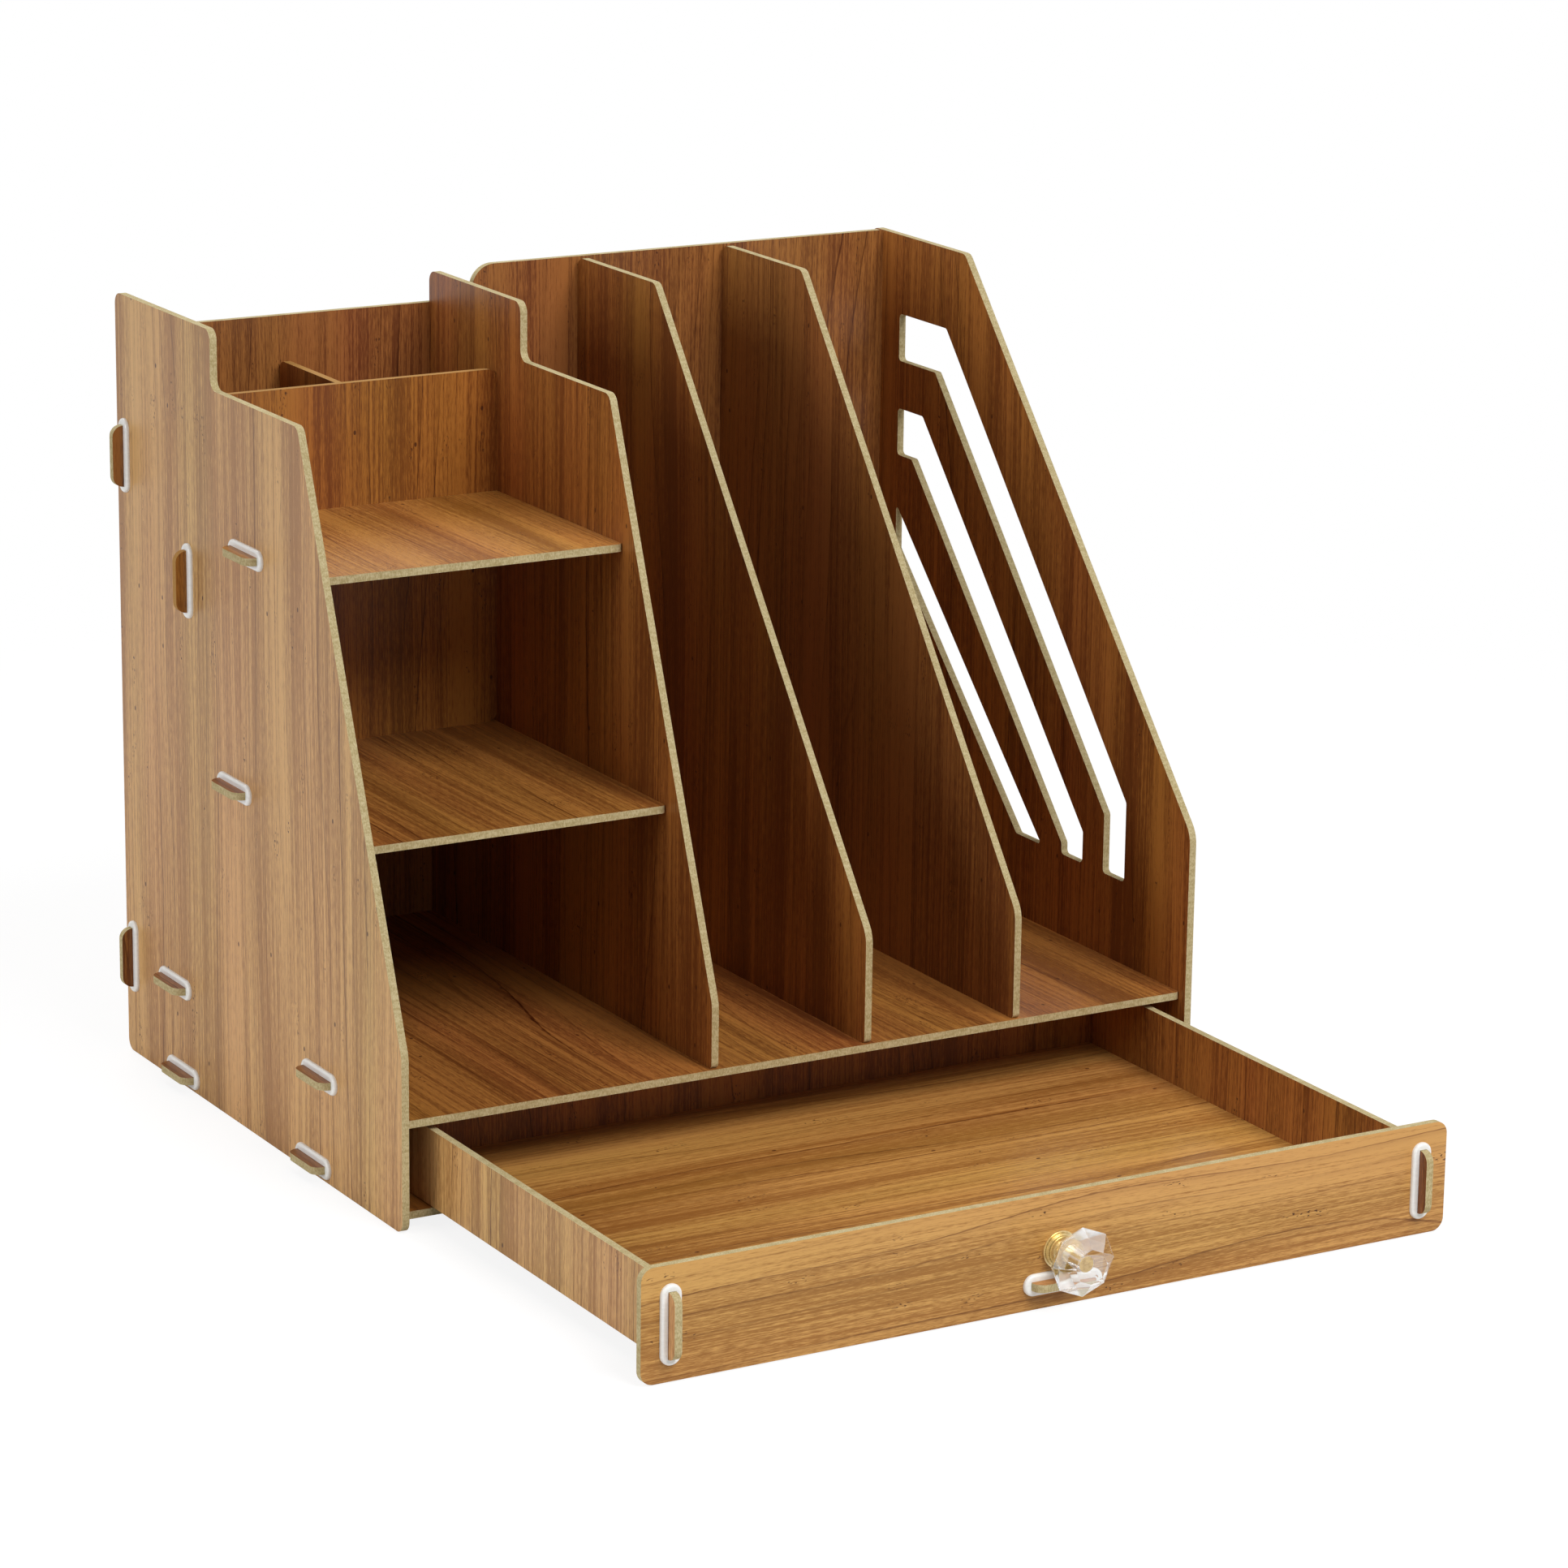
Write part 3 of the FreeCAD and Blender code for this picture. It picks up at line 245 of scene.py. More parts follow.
class OrganizerVeneer(bpy.types.PropertyGroup):
    """Colours and sizes of the veneered boards and their bare edges."""

    # The outward colours are the veneer painted lit, and the inward colours are the same veneer,
    # darker and redder, in painted shade.
    painted_lit_light: colour("Light outside", "Lightest grain of the outward faces", "#cd9b54")
    painted_lit_dark: colour("Dark outside", "Darkest grain of the outward faces", "#9a672b")
    painted_shade_light: colour("Light inside", "Lightest grain of the inward faces", "#a66a30")
    painted_shade_dark: colour("Dark inside", "Darkest grain of the inward faces", "#713e1a")
    line: colour("Growth line", "How a growth line tints the grain", "#8c6a52")
    pore: colour("Pore", "Open pores and pinholes", "#45200e")
    edge_light: colour("Light fibre", "Light fibres of the bare edge", "#c4b58c")
    edge_dark: colour("Dark fibre", "Dark fibres of the bare edge", "#a49264")
    stain: colour("Edge stain", "Stained edges of the pen boxes' boards", "#a8752e")
    drift: length("Drift", "How far the grain wanders sideways", 11.0)
    band: length("Band", "Width of the broad bands", 24.0)
    streak: length("Streak", "Width of the streaks", 2.2)
    vein: length("Vein", "Width of the thin veins", 0.9)
    # Real fibres are about 0.1 mm wide, pores 0.2 mm and pinholes 0.5 mm. That is too fine
    # to show, so they are drawn as coarse as the render needs.
    fibre: length("Fibre", "Width of the short fibres", 0.36)
    line_gap: length("Line distance", "Usual distance between growth lines", 8.0)
    pore_length: length("Pore length", "Length of a pore", 1.7)
    pore_width: length("Pore width", "Width of a pore", 0.55)
    pin_gap: length("Pinhole distance", "Usual distance between pinholes", 30.0)
    pin_size: length("Pinhole", "Radius of a pinhole", 0.7)
    relief: length("Relief", "Depth of the grain in the lacquer", 0.03)
    hue_band: length("Hue band", "Width of the bands of redder and yellower wood", 34.0)
    gloss: share("Roughness", "Roughness of the lacquer", 0.38)
    edge_gloss: share("Edge roughness", "Roughness of the bare edge", 0.82)


class OrganizerFittings(bpy.types.PropertyGroup):
    """Colours and sizes of the clips, the knob and its screw."""

    clip: colour("Clip", "Moulded plastic of the clips", "#f1f1ee")
    clip_shade: colour("Clip shade", "Slightly darker flow marks", "#ebebe8")
    brass: colour("Brass", "Polished brass of the knob's rose", "#ecdaaa")
    brass_dark: colour("Brass tarnish", "Tarnish of the brass", "#c0a267")
    contact: colour("Contact", "Brass seen where the crystal touches it", "#f2e7cb")
    crystal: colour("Crystal", "Tint of the cut crystal", "#fbfdff")
    crystal_shade: colour("Crystal shade", "Slightly greyer tint of the crystal", "#f4f6f9")
    steel: colour("Steel", "Plated steel of the screw", "#b4b5b3")
    steel_dark: colour("Steel shade", "Duller plating of the screw", "#8d8f8e")
    # Real turning marks are about 0.1 mm apart: too fine to show, so they are drawn wider.
    turning: length("Turning marks", "Distance between turning marks", 0.35)
    # The arris line is a painted highlight: a milky white line along each facet's edge.
    painted_arris_highlight: length("Arris", "Width of the bright line along a facet's edge", 0.3)
    veil: share("Veil", "How milky the cloudiest facet is", 0.35)


class OrganizerStage(bpy.types.PropertyGroup):
    """Lamps, floor and camera."""

    sky: bpy.props.FloatProperty(
        name="Sky", description="Strength of the even white light", min=0, default=0.2)
    front: power("Front", "Power of the lamp in front, above", 50.0)
    left: power("Left", "Power of the lamp at the left", 21.0)
    rear: power("Rear", "Power of the lamp behind", 22.0)
    lamp_size: length("Lamp size", "Side of each square lamp", 1200.0)
    lens: bpy.props.FloatProperty(
        name="Lens", description="Focal length", subtype="DISTANCE_CAMERA", min=1,
        default=128.87)
    floor: colour("Floor", "Pale painted floor", "#e6e6e5")
    floor_shade: colour("Floor shade", "Slightly darker paint", "#e4e4e3")
    floor_seen: colour("Floor seen", "The paint's share of what the camera sees", "#767676")
    floor_lift: share("Floor lift", "White that is added to what the camera sees", 0.86)
    floor_reach: length("Floor radius", "Where the floor has faded out", 950.0)


def add_node(tree, kind, inputs=(), **settings):
    """Adds a node with its settings and links, and returns its outputs.

    inputs gives each input, in order or by its place or name, a value or a node's output.
    """
    node = tree.nodes.new("ShaderNode" + kind)
    for key, setting in settings.items():
        setattr(node, key, setting)
    for key, source in inputs.items() if isinstance(inputs, dict) else enumerate(inputs):
        if isinstance(source, bpy.types.NodeSocket):
            tree.links.new(source, node.inputs[key])
        else:
            node.inputs[key].default_value = source
    return node.outputs


def new_group(name, inputs, outputs):
    """A shader node group, the sockets that feed it and the sockets that it fills."""
    tree = bpy.data.node_groups.new(name, "ShaderNodeTree")
    for label, kind in inputs:
        tree.interface.new_socket(label, in_out="INPUT", socket_type="NodeSocket" + kind)
    for label, kind in outputs:
        tree.interface.new_socket(label, in_out="OUTPUT", socket_type="NodeSocket" + kind)
    start = tree.nodes.new("NodeGroupInput")
    end = tree.nodes.new("NodeGroupOutput")
    return tree, start.outputs, end.inputs


def sized_spots():
    """Noise whose spots have a real size: noise of scale one at the place over the size."""
    name = "Sized_spots"
    if name in bpy.data.node_groups:
        return bpy.data.node_groups[name]
    inputs = (("Place", "Vector"), ("Size", "Vector"), ("Detail", "Float"),
              ("Roughness", "Float"))
    tree, start, end = new_group(name, inputs, (("Spots", "Float"),))
    scaled = add_node(tree, "VectorMath", (start["Place"], start["Size"]),
                      operation="DIVIDE")[0]
    spots = add_node(tree, "TexNoise", {
        "Vector": scaled, "Scale": 1.0, "Detail": start["Detail"],
        "Roughness": start["Roughness"]}, noise_dimensions="3D")[0]
    tree.links.new(spots, end["Spots"])
    return tree


def growth_lines(tree, bent, looks):
    """How dark the growth rings make each place.

    A ring's place is the way across over the usual distance, plus slow noise, so that the
    rings bow and crowd. Inside a ring the wood darkens slowly, then in a sharp crest, and
    falls back at once. Each ring has its own strength, and the crests show in patches.
    """
    spots = sized_spots()
    across = add_node(tree, "SeparateXYZ", (bent,))[0]
    bow = add_node(tree, "Group", (bent, *BOW), node_tree=spots)[0]
    fray = add_node(tree, "Group", (bent, *FRAY), node_tree=spots)[0]
    patch = add_node(tree, "Group", (bent, *PATCH), node_tree=spots)[0]
    ring = add_node(tree, "Math", (across, MM / looks.line_gap), operation="MULTIPLY")[0]
    ring = add_node(tree, "Math", (bow, RING_BOW, ring), operation="MULTIPLY_ADD")[0]
    ring = add_node(tree, "Math", (fray, RING_FRAY, ring), operation="MULTIPLY_ADD")[0]
    within = add_node(tree, "Math", (ring,), operation="FRACT")[0]
    number = add_node(tree, "Math", (ring,), operation="FLOOR")[0]
    chance = add_node(tree, "TexWhiteNoise", {"W": number}, noise_dimensions="1D")["Value"]
    rise, crest, fall = (
        add_node(tree, "MapRange", (within, *part), interpolation_type="SMOOTHSTEP")[0]
        for part in RING_PARTS)
    shown = add_node(tree, "MapRange", (patch, *PATCH_RANGE),
                     interpolation_type="SMOOTHSTEP")[0]
    shown = add_node(tree, "Math", (chance, shown), operation="MULTIPLY")[0]
    crest = add_node(tree, "Math", (crest, shown), operation="MULTIPLY")[0]
    rise = add_node(tree, "Math", (rise, chance), operation="MULTIPLY")[0]
    dark = add_node(tree, "Math", (rise, crest), operation="MAXIMUM")[0]
    return add_node(tree, "Math", (dark, fall), operation="MULTIPLY")[0]


def open_pores(tree, grain, bent, looks):
    """Where short pores lie in clusters, and where single pinholes are."""
    spots = sized_spots()
    pore_size = (looks.pore_width / MM, looks.pore_length / MM, 1.0)
    pore = add_node(tree, "Group", {
        "Place": grain, "Size": pore_size, "Detail": 0.0, "Roughness": 0.5},
        node_tree=spots)[0]
    pore = add_node(tree, "MapRange", (pore, *PORE_RANGE),
                    interpolation_type="SMOOTHSTEP")[0]
    cluster = add_node(tree, "Group", (bent, *CLUSTER), node_tree=spots)[0]
    cluster = add_node(tree, "MapRange", (cluster, *CLUSTER_RANGE),
                       interpolation_type="SMOOTHSTEP")[0]
    pores = add_node(tree, "Math", (pore, cluster), operation="MULTIPLY")[0]
    # Pinholes: oval spots round the scattered points of a Voronoi pattern, some left out.
    cell = looks.pin_gap / MM
    scaled = add_node(tree, "VectorMath", (grain, (1 / cell, PIN_STRETCH / cell, 0.0)),
                      operation="MULTIPLY")[0]
    points = add_node(tree, "TexVoronoi", {"Vector": scaled, "Scale": 1.0},
                      voronoi_dimensions="2D")
    radius = looks.pin_size / MM / cell
    hole = add_node(tree, "MapRange", (
        points["Distance"], PIN_CORE * radius, radius, 1.0, 0.0),
        interpolation_type="SMOOTHSTEP")[0]
    chance = add_node(tree, "SeparateColor", (points["Color"],))[0]
    kept = add_node(tree, "Math", (chance, PIN_LEFT_OUT), operation="GREATER_THAN")[0]
    hole = add_node(tree, "Math", (hole, kept), operation="MULTIPLY")[0]
    return add_node(tree, "Math", (pores, hole), operation="MAXIMUM")[0]


def make_veneer(looks):
    """Sliced veneer under satin lacquer, from millimetres across and along the grain.

    To the eye it is warm wood, streaked along the grain, with a soft and broad shine. Broad
    bands, streaks, veins and fibres set the tone between its dark and its light colour. The
    whole grain wanders sideways a little. Growth lines follow it, pores lie in it, and its
    hue goes slowly between redder and yellower wood.
    """
    inputs = (("Grain", "Vector"), ("Light", "Color"), ("Dark", "Color"))
    outputs = (("Color", "Color"), ("Roughness", "Float"), ("Height", "Float"),
               ("Hue", "Float"))
    tree, start, end = new_group("Sliced_veneer_satin_lacquer", inputs, outputs)
    spots = sized_spots()
    grain = start["Grain"]
    drift = looks.drift / MM
    wander = add_node(tree, "Group", (grain, *WANDER), node_tree=spots)[0]
    shift = add_node(tree, "Math", (wander, drift, -drift / 2), operation="MULTIPLY_ADD")[0]
    sideways = add_node(tree, "CombineXYZ", {"X": shift})[0]
    bent = add_node(tree, "VectorMath", (grain, sideways), operation="ADD")[0]
    tone = 0.0
    for name, (reach, detail, roughness, weight) in GRAIN_LAYERS.items():
        size = (getattr(looks, name) / MM, reach, 1.0)
        layer = add_node(tree, "Group", (bent, size, detail, roughness), node_tree=spots)[0]
        tone = add_node(tree, "Math", (layer, weight, tone), operation="MULTIPLY_ADD")[0]
    # The last layer is the fibres.
    fibre = layer
    lit = add_node(tree, "MapRange", (tone, *GRAIN_RANGE), interpolation_type="SMOOTHSTEP")[0]
    plain = add_node(tree, "Mix", {0: lit, 6: start["Dark"], 7: start["Light"]},
                     data_type="RGBA")[2]
    line = growth_lines(tree, bent, looks)
    pore = open_pores(tree, grain, bent, looks)
    tinted = add_node(tree, "Mix", {0: line, 6: plain, 7: looks.line},
                      data_type="RGBA", blend_type="MULTIPLY")[2]
    cover = add_node(tree, "Math", (pore, PORE_COVER), operation="MULTIPLY")[0]
    tinted = add_node(tree, "Mix", {0: cover, 6: tinted, 7: looks.pore}, data_type="RGBA")[2]
    height = add_node(tree, "Math", (pore, -PORE_DEPTH, fibre), operation="MULTIPLY_ADD")[0]
    height = add_node(tree, "Math", (line, -LINE_DEPTH, height), operation="MULTIPLY_ADD")[0]
    rough = add_node(tree, "Math", (fibre, GLOSS_SPREAD, looks.gloss - GLOSS_SPREAD / 2),
                     operation="MULTIPLY_ADD")[0]
    hue_size = (looks.hue_band / MM, HUE_REACH, 1.0)
    turn = add_node(tree, "Group", {
        "Place": bent, "Size": hue_size, "Detail": 1.0, "Roughness": 0.5},
        node_tree=spots)[0]
    hue = add_node(tree, "Math", (turn, HUE_SPREAD, HUE_UNTURNED - HUE_SPREAD / 2),
                   operation="MULTIPLY_ADD")[0]
    for label, source in (("Color", tinted), ("Roughness", rough), ("Height", height),
                          ("Hue", hue)):
        tree.links.new(source, end[label])
    return tree


def make_bare_edge(looks):
    """Sawn fibreboard edge: to the eye dull, with pressed fibres in pale and olive specks."""
    tree, start, end = new_group(
        "Sawn_fibreboard_edge", (("Position", "Vector"),),
        (("Color", "Color"), ("Height", "Float")))
    spots = sized_spots()
    place = start["Position"]
    speck = add_node(tree, "Group", (place, *SPECK), node_tree=spots)[0]
    clump = add_node(tree, "Group", (place, *CLUMP), node_tree=spots)[0]
    tone = add_node(tree, "Math", (speck, SPECK_SHARE), operation="MULTIPLY")[0]
    tone = add_node(tree, "Math", (clump, 1 - SPECK_SHARE, tone),
                    operation="MULTIPLY_ADD")[0]
    lit = add_node(tree, "MapRange", (tone, *EDGE_RANGE), interpolation_type="SMOOTHSTEP")[0]
    tinted = add_node(tree, "Mix", {0: lit, 6: looks.edge_dark, 7: looks.edge_light},
                      data_type="RGBA")[2]
    tree.links.new(tinted, end["Color"])
    tree.links.new(speck, end["Height"])
    return tree


def new_material(name):
    """A material with an empty node tree."""
    material = bpy.data.materials.new(name)
    material.use_nodes = True
    material.node_tree.nodes.clear()
    return material, material.node_tree


def millimetres(tree):
    """The object's own coordinates in millimetres, and its own normal."""
    source = add_node(tree, "TexCoord")
    place = add_node(tree, "VectorMath", {0: source["Object"], "Scale": 1 / MM},
                     operation="SCALE")[0]
    return place, source["Normal"]


def dress(node, material):
    """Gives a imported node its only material."""
    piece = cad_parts[node]
    piece.data.materials.clear()
    piece.data.materials.append(material)


def board_material(name, board, number, looks, veneer, edge):
    """Veneer on a board's two broad faces and sawn fibreboard on its edges."""
    thin, across, along, low_painted_light, high_painted_light, lightness, saturation = board
    material, tree = new_material(f"Veneered_fibreboard_{name}")
    place, normal = millimetres(tree)
    parts = add_node(tree, "SeparateXYZ", (place,))
    cut = [step * number for step in CUT_STEP]
    cut_across = add_node(tree, "Math", (parts[across], cut[0]), operation="ADD")[0]
    cut_along = add_node(tree, "Math", (parts[along], cut[1]), operation="ADD")[0]
    grain = add_node(tree, "CombineXYZ", (cut_across, cut_along, cut[2]))[0]
    facing = add_node(tree, "SeparateXYZ", (normal,))[thin]
    high = add_node(tree, "Math", (facing, 0.0), operation="GREATER_THAN")[0]
    # The face's share of painted light: the lit outward colours against the painted shade of the
    # inward ones.
    outside = add_node(tree, "Math", (high, high_painted_light - low_painted_light, low_painted_light),
                       operation="MULTIPLY_ADD")[0]
    light = add_node(tree, "Mix", {0: outside, 6: looks.painted_shade_light, 7: looks.painted_lit_light},
                     data_type="RGBA")[2]
    dark = add_node(tree, "Mix", {0: outside, 6: looks.painted_shade_dark, 7: looks.painted_lit_dark},
                    data_type="RGBA")[2]
    face = add_node(tree, "Group", {"Grain": grain, "Light": light, "Dark": dark},
                    node_tree=veneer)
    sawn = add_node(tree, "Group", {"Position": place}, node_tree=edge)
    straight = add_node(tree, "Math", (facing,), operation="ABSOLUTE")[0]
    broad = add_node(tree, "Math", (straight, BROAD), operation="GREATER_THAN")[0]
    toned = add_node(tree, "HueSaturation", {
        "Hue": face["Hue"], "Value": lightness, "Saturation": saturation,
        "Color": face["Color"]})[0]
    bare = sawn["Color"]
    if name in STAINED_EDGES:
        bare = add_node(tree, "Mix", {0: STAIN_COVER, 6: bare, 7: looks.stain},
                        data_type="RGBA")[2]
    tinted = add_node(tree, "Mix", {0: broad, 6: bare, 7: toned}, data_type="RGBA")[2]
    rough = add_node(tree, "Mix", {0: broad, 2: looks.edge_gloss, 3: face["Roughness"]},
                     data_type="FLOAT")[0]
    height = add_node(tree, "Mix", {0: broad, 2: sawn["Height"], 3: face["Height"]},
                      data_type="FLOAT")[0]
    bumped = add_node(tree, "Bump", {
        "Height": height, "Distance": looks.relief, "Strength": 1.0})[0]
    shader = add_node(tree, "BsdfPrincipled", {
        "Base Color": tinted, "Roughness": rough, "Normal": bumped, "IOR": LACQUER_IOR})[0]
    add_node(tree, "OutputMaterial", (shader,))
    return material


class ORGANIZER_OT_dress_boards(bpy.types.Operator):
    """Gives every board its veneer along its own grain, and bare edges"""

    bl_idname = "organizer.dress_boards"
    bl_label = "Dress Boards"

    def execute(self, context):
        looks = context.scene.organizer_veneer
        veneer = make_veneer(looks)
        edge = make_bare_edge(looks)
        for number, (name, board) in enumerate(BOARDS.items(), start=1):
            dress(name, board_material(name, board, number, looks, veneer, edge))
        return {"FINISHED"}


class ORGANIZER_OT_dress_clips(bpy.types.Operator):
    """Gives the oval clips their glossy moulded plastic"""

    bl_idname = "organizer.dress_clips"
    bl_label = "Dress Clips"

    def execute(self, context):
        looks = context.scene.organizer_fittings
        # Injection-moulded white polystyrene: to the eye smooth, glossy and almost even, with
        # faint flow marks.
        material, tree = new_material("Moulded_white_polystyrene")
        spots = sized_spots()
        place, _ = millimetres(tree)
        flow = add_node(tree, "Group", (place, *FLOW), node_tree=spots)[0]
        skin = add_node(tree, "Group", (place, *SKIN), node_tree=spots)[0]
        marked = add_node(tree, "MapRange", (flow, *FLOW_RANGE),
                          interpolation_type="SMOOTHSTEP")[0]
        tinted = add_node(tree, "Mix", {0: marked, 6: looks.clip, 7: looks.clip_shade},
                          data_type="RGBA")[2]
        rough = add_node(tree, "Math", (skin, SKIN_SPREAD, CLIP_ROUGHNESS),
                         operation="MULTIPLY_ADD")[0]
        bumped = add_node(tree, "Bump", {
            "Height": skin, "Distance": SKIN_DEPTH * MM, "Strength": 1.0})[0]
        shader = add_node(tree, "BsdfPrincipled", {
            "Base Color": tinted, "Roughness": rough, "Normal": bumped, "IOR": CLIP_IOR})[0]
        add_node(tree, "OutputMaterial", (shader,))
        for name in CLIP_SETS:
            dress(name, material)
        return {"FINISHED"}


def knob_distance(tree, place):
    """Millimetres from the knob's axis, which runs along Y through the rose."""
    low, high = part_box("knob_base")
    middle = (low + high) / (2 * MM)
    offset = add_node(tree, "VectorMath", (place, middle), operation="SUBTRACT")[0]
    flat = add_node(tree, "VectorMath", (offset, (1.0, 0.0, 1.0)), operation="MULTIPLY")[0]
    return add_node(tree, "VectorMath", (flat,), operation="LENGTH")["Value"]


def turned_metal(name, bright, dark, metallic, roughness, looks):
    """Turned metal: fine rings about the knob's axis and slow changes of tone."""
    material, tree = new_material(name)
    place, _ = millimetres(tree)
    radius = knob_distance(tree, place)
    turns = add_node(tree, "Math", (radius, 2 * math.pi * MM / looks.turning),
                     operation="MULTIPLY")[0]
    rings = add_node(tree, "Math", (turns,), operation="SINE")[0]
    cloud = add_node(tree, "Group", (place, *CLOUD), node_tree=sized_spots())[0]
    dull = add_node(tree, "MapRange", (cloud, *CLOUD_RANGE),
                    interpolation_type="SMOOTHSTEP")[0]
    tinted = add_node(tree, "Mix", {0: dull, 6: bright, 7: dark}, data_type="RGBA")[2]
    rough = add_node(tree, "Math", (cloud, CLOUD_SPREAD, roughness),
                     operation="MULTIPLY_ADD")[0]
    bumped = add_node(tree, "Bump", {
        "Height": rings, "Distance": TURNING_DEPTH * MM, "Strength": 1.0})[0]
    shader = add_node(tree, "BsdfPrincipled", {
        "Base Color": tinted, "Metallic": metallic, "Roughness": rough,
        "Normal": bumped})[0]
    add_node(tree, "OutputMaterial", (shader,))
    return material


class ORGANIZER_OT_dress_knob_base(bpy.types.Operator):
    """Gives the knob's rose and neck their turned and polished brass"""

    bl_idname = "organizer.dress_knob_base"
    bl_label = "Dress Knob Base"

    def execute(self, context):
        looks = context.scene.organizer_fittings
        # Brass, turned and polished: to the eye pale gold that mirrors the room in rings. It
        # is a little less than wholly metallic, so that its grooves aren't black.
        dress("knob_base", turned_metal(
            "Turned_polished_brass", looks.brass, looks.brass_dark, *BRASS_FINISH, looks))
        return {"FINISHED"}


class ORGANIZER_OT_dress_knob_crystal(bpy.types.Operator):
    """Gives the knob its clear cut crystal"""

    bl_idname = "organizer.dress_knob_crystal"
    bl_label = "Dress Knob Crystal"

    def execute(self, context):
        looks = context.scene.organizer_fittings
        # Crystal glass, cut and polished: to the eye clear, with the brass post inside. Each
        # facet has its own faint milky veil, a painted highlight lies as a milky white line along
        # the arrises between them, and polishing leaves low waves.
        material, tree = new_material("Cut_polished_crystal")
        place, normal = millimetres(tree)
        wave = add_node(tree, "Group", (place, *WAVE), node_tree=sized_spots())[0]
        flat = add_node(tree, "NewGeometry")["True Normal"]
        facet = add_node(tree, "VectorMath", (flat, FACET_STEP), operation="SNAP")[0]
        chance = add_node(tree, "TexWhiteNoise", {"Vector": facet},
                          noise_dimensions="3D")["Value"]
        veil = add_node(tree, "MapRange", (chance, LEAST_VEILED, 1.0, 0.0, looks.veil),
                        interpolation_type="SMOOTHSTEP")[0]
        # The painted highlight lies on the arris, where a normal rounded over its width leaves
        # the facet's own.
        rounded = add_node(tree, "Bevel", {"Radius": looks.painted_arris_highlight}, samples=8)[0]
        turned = add_node(tree, "VectorMath", (rounded, flat),
                          operation="DOT_PRODUCT")["Value"]
        turned = add_node(tree, "Math", (1.0, turned), operation="SUBTRACT")[0]
        painted_arris_highlight = add_node(tree, "MapRange", (turned, *ARRIS_HIGHLIGHT_RANGE),
                         interpolation_type="SMOOTHSTEP")[0]
        # The facets' own veil, with the painted highlight along the arrises.
        veil_and_arris_highlight = add_node(tree, "Math", (veil, painted_arris_highlight), operation="MAXIMUM")[0]
        # The front facet is clearer, so that the post's end shows through it.
        backwards = add_node(tree, "SeparateXYZ", (normal,))[1]
        front = add_node(tree, "Math", (backwards, -STRAIGHT), operation="LESS_THAN")[0]
        clearing = add_node(tree, "Math", (front, FRONT_CLOUDS - 1, 1.0),
                            operation="MULTIPLY_ADD")[0]
        veil_and_arris_highlight = add_node(tree, "Math", (veil_and_arris_highlight, clearing), operation="MULTIPLY")[0]
        # Where it touches the collar and the post's end, the brass shows through it.
        behind = add_node(tree, "Math", (backwards, STRAIGHT), operation="GREATER_THAN")[0]
        inner = add_node(tree, "Math", (knob_distance(tree, place), CONTACT_RADIUS),
                         operation="LESS_THAN")[0]
        touching = add_node(tree, "Math", (behind, inner), operation="MULTIPLY")[0]
        closed = add_node(tree, "Math", (veil_and_arris_highlight, touching), operation="MAXIMUM")[0]
        clear = add_node(tree, "Math", (1.0, closed), operation="SUBTRACT")[0]
        greyer = add_node(tree, "MapRange", (wave, *WAVE_RANGE),
                          interpolation_type="SMOOTHSTEP")[0]
        tinted = add_node(tree, "Mix", {0: greyer, 6: looks.crystal, 7: looks.crystal_shade},
                          data_type="RGBA")[2]
        tinted = add_node(tree, "Mix", {0: touching, 6: tinted, 7: looks.contact},
                          data_type="RGBA")[2]
        # Light passes through it on to the brass and the drawer's face, and a ray that its
        # facets have turned back too often is let out.
        rays = add_node(tree, "LightPath")
        deep = add_node(tree, "Math", (rays["Ray Depth"], DEEPEST_RAY),
                        operation="GREATER_THAN")[0]
        passing = add_node(tree, "Math", (rays["Is Shadow Ray"], rays["Is Diffuse Ray"]),
                           operation="MAXIMUM")[0]
        passing = add_node(tree, "Math", (passing, deep), operation="MAXIMUM")[0]
        solid = add_node(tree, "Math", (passing, -PASSING_SHARE, 1.0),
                         operation="MULTIPLY_ADD")[0]
        bumped = add_node(tree, "Bump", {
            "Height": wave, "Distance": WAVE_DEPTH * MM, "Strength": 1.0})[0]
        shader = add_node(tree, "BsdfPrincipled", {
            "Base Color": tinted, "Roughness": 0.0, "IOR": CRYSTAL_IOR,
            "Transmission Weight": clear, "Alpha": solid, "Normal": bumped})[0]
        add_node(tree, "OutputMaterial", (shader,))
        dress("knob_crystal", material)
        return {"FINISHED"}


class ORGANIZER_OT_dress_knob_screw(bpy.types.Operator):
    """Gives the knob's screw its plated steel"""

    bl_idname = "organizer.dress_knob_screw"
    bl_label = "Dress Knob Screw"

    def execute(self, context):
        looks = context.scene.organizer_fittings
        # Steel, zinc plated: to the eye grey and bright, with fine turning marks.
        dress("knob_screw", turned_metal(
            "Zinc_plated_steel", looks.steel, looks.steel_dark, *STEEL_FINISH, looks))
        return {"FINISHED"}


def soft_lamp(name, place, size, watts):
    """A square soft lamp that faces the object."""
    lamp = bpy.data.lights.new(name, "AREA")
    lamp.shape = "SQUARE"
    lamp.size = size
    lamp.energy = watts
    holder = bpy.data.objects.new(name, lamp)
    holder.location = place
    facing = Vector(LAMP_TARGET) - Vector(place)
    holder.rotation_euler = facing.to_track_quat("-Z", "Y").to_euler()
    bpy.context.scene.collection.objects.link(holder)


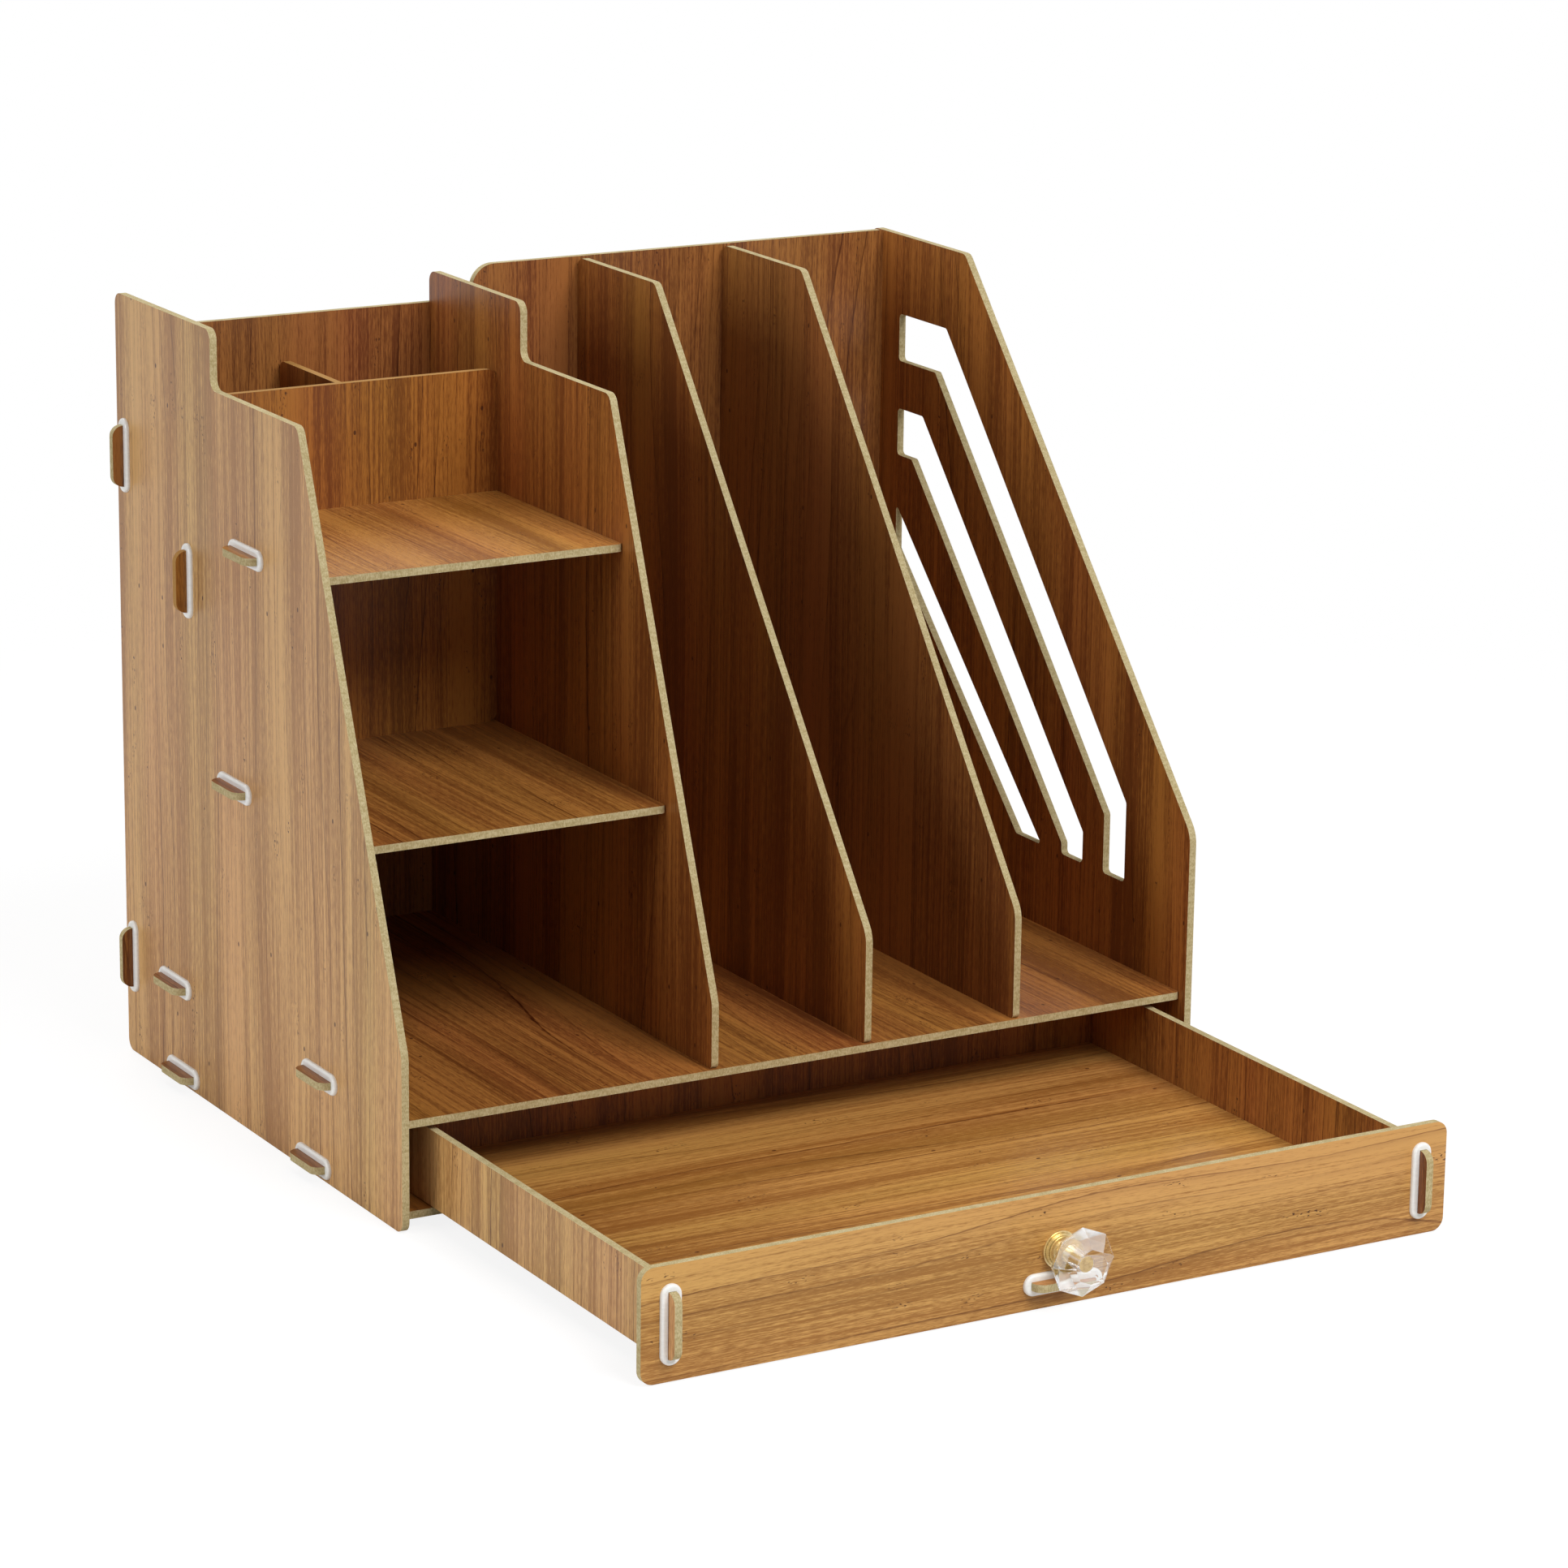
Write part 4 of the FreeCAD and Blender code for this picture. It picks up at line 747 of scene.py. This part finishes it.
def make_floor(stage):
    """A pale floor round the object, which fades into the white backdrop."""
    reach = stage.floor_reach
    corners = [(-reach, -reach, FLOOR_DROP), (reach, -reach, FLOOR_DROP),
               (reach, reach, FLOOR_DROP), (-reach, reach, FLOOR_DROP)]
    mesh = bpy.data.meshes.new("floor")
    mesh.from_pydata(corners, [], [(0, 1, 2, 3)])
    floor = bpy.data.objects.new("floor", mesh)
    bpy.context.scene.collection.objects.link(floor)
    # Matt painted board: to the eye almost white, with a very faint roller texture. What the
    # camera sees is lifted to the backdrop's white, and the object's shadow stays on it.
    material, tree = new_material("Matt_painted_board")
    place, _ = millimetres(tree)
    roller = add_node(tree, "Group", (place, *ROLLER), node_tree=sized_spots())[0]
    seen = add_node(tree, "LightPath")["Is Camera Ray"]
    shaded = add_node(tree, "MapRange", (roller, *ROLLER_RANGE),
                      interpolation_type="SMOOTHSTEP")[0]
    paint = add_node(tree, "Mix", {0: shaded, 6: stage.floor, 7: stage.floor_shade},
                     data_type="RGBA")[2]
    paint = add_node(tree, "Mix", {0: seen, 6: paint, 7: stage.floor_seen},
                     data_type="RGBA")[2]
    lift = add_node(tree, "Math", (seen, stage.floor_lift), operation="MULTIPLY")[0]
    radius = add_node(tree, "VectorMath", (place,), operation="LENGTH")["Value"]
    fade = add_node(tree, "MapRange", (
        radius, FADE_START * reach / MM, FADE_END * reach / MM, 1.0, 0.0),
        interpolation_type="SMOOTHSTEP")[0]
    shader = add_node(tree, "BsdfPrincipled", {
        "Base Color": paint, "Roughness": 0.9, "Specular IOR Level": 0.0,
        "Emission Color": WHITE, "Emission Strength": lift, "Alpha": fade})[0]
    add_node(tree, "OutputMaterial", (shader,))
    mesh.materials.append(material)


def make_sky(stage):
    """Even white light, with a plain white backdrop for what the camera and mirrors see."""
    world = bpy.data.worlds.new("White_studio")
    bpy.context.scene.world = world
    world.use_nodes = True
    tree = world.node_tree
    tree.nodes.clear()
    rays = add_node(tree, "LightPath")
    seen = add_node(tree, "Math", (rays["Is Camera Ray"], rays["Is Glossy Ray"]),
                    operation="MAXIMUM")[0]
    seen = add_node(tree, "Math", (seen, rays["Is Transmission Ray"]),
                    operation="MAXIMUM")[0]
    strength = add_node(tree, "Mix", {0: seen, 2: stage.sky, 3: 1.0}, data_type="FLOAT")[0]
    sky = add_node(tree, "Background", {"Color": WHITE, "Strength": strength})[0]
    add_node(tree, "OutputWorld", {"Surface": sky})


def make_camera(stage):
    """The camera at the photo's place, with its turn, its tilt and its slight roll."""
    turn, tilt, roll = (math.radians(angle) for angle in CAMERA_ANGLES)
    ahead = Vector((math.sin(turn) * math.cos(tilt), math.cos(turn) * math.cos(tilt),
                    -math.sin(tilt)))
    right = Vector((math.cos(turn), -math.sin(turn), 0.0))
    up = right.cross(ahead)
    rolled_right = right * math.cos(roll) + up * math.sin(roll)
    rolled_up = up * math.cos(roll) - right * math.sin(roll)
    axes = Matrix((rolled_right, rolled_up, -ahead)).transposed()
    lens = bpy.data.cameras.new("photo_camera")
    lens.lens = stage.lens
    lens.sensor_width = SENSOR_WIDTH
    camera = bpy.data.objects.new("photo_camera", lens)
    camera.matrix_world = Matrix.Translation(Vector(CAMERA_PLACE)) @ axes.to_4x4()
    bpy.context.scene.collection.objects.link(camera)
    bpy.context.scene.camera = camera


class ORGANIZER_OT_make_stage(bpy.types.Operator):
    """Makes the floor, the white studio light and the camera"""

    bl_idname = "organizer.make_stage"
    bl_label = "Make Stage"

    def execute(self, context):
        stage = context.scene.organizer_stage
        make_floor(stage)
        make_sky(stage)
        for side, place in LAMP_PLACES.items():
            soft_lamp(f"{side}_lamp", place, stage.lamp_size, getattr(stage, side))
        make_camera(stage)
        context.scene.view_settings.view_transform = "Standard"
        return {"FINISHED"}


class ORGANIZER_PT_looks(bpy.types.Panel):
    """Looks of the desk organizer"""

    bl_label = "Desk Organizer"
    bl_idname = "ORGANIZER_PT_looks"
    bl_space_type = "VIEW_3D"
    bl_region_type = "UI"
    bl_category = "Organizer"

    def draw(self, context):
        for name, group in GROUPS.items():
            box = self.layout.box()
            for key in group.__annotations__:
                box.prop(getattr(context.scene, name), key)
        for operator in OPERATORS:
            self.layout.operator(operator.bl_idname)


GROUPS = {
    "organizer_veneer": OrganizerVeneer,
    "organizer_fittings": OrganizerFittings,
    "organizer_stage": OrganizerStage,
}
OPERATORS = (
    ORGANIZER_OT_dress_boards,
    ORGANIZER_OT_dress_clips,
    ORGANIZER_OT_dress_knob_base,
    ORGANIZER_OT_dress_knob_crystal,
    ORGANIZER_OT_dress_knob_screw,
    ORGANIZER_OT_make_stage,
)
CLASSES = (*GROUPS.values(), *OPERATORS, ORGANIZER_PT_looks)


def register():
    """Adds the classes and the scene's property groups."""
    for entry in CLASSES:
        bpy.utils.register_class(entry)
    for name, group in GROUPS.items():
        setattr(bpy.types.Scene, name, bpy.props.PointerProperty(type=group))


def unregister():
    """Takes away what register added."""
    for name in GROUPS:
        delattr(bpy.types.Scene, name)
    for entry in reversed(CLASSES):
        bpy.utils.unregister_class(entry)


def main():
    """Registers the add-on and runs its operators."""
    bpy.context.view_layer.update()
    register()
    bpy.ops.organizer.dress_boards()
    bpy.ops.organizer.dress_clips()
    bpy.ops.organizer.dress_knob_base()
    bpy.ops.organizer.dress_knob_crystal()
    bpy.ops.organizer.dress_knob_screw()
    bpy.ops.organizer.make_stage()


if __name__ == "__main__":
    main()
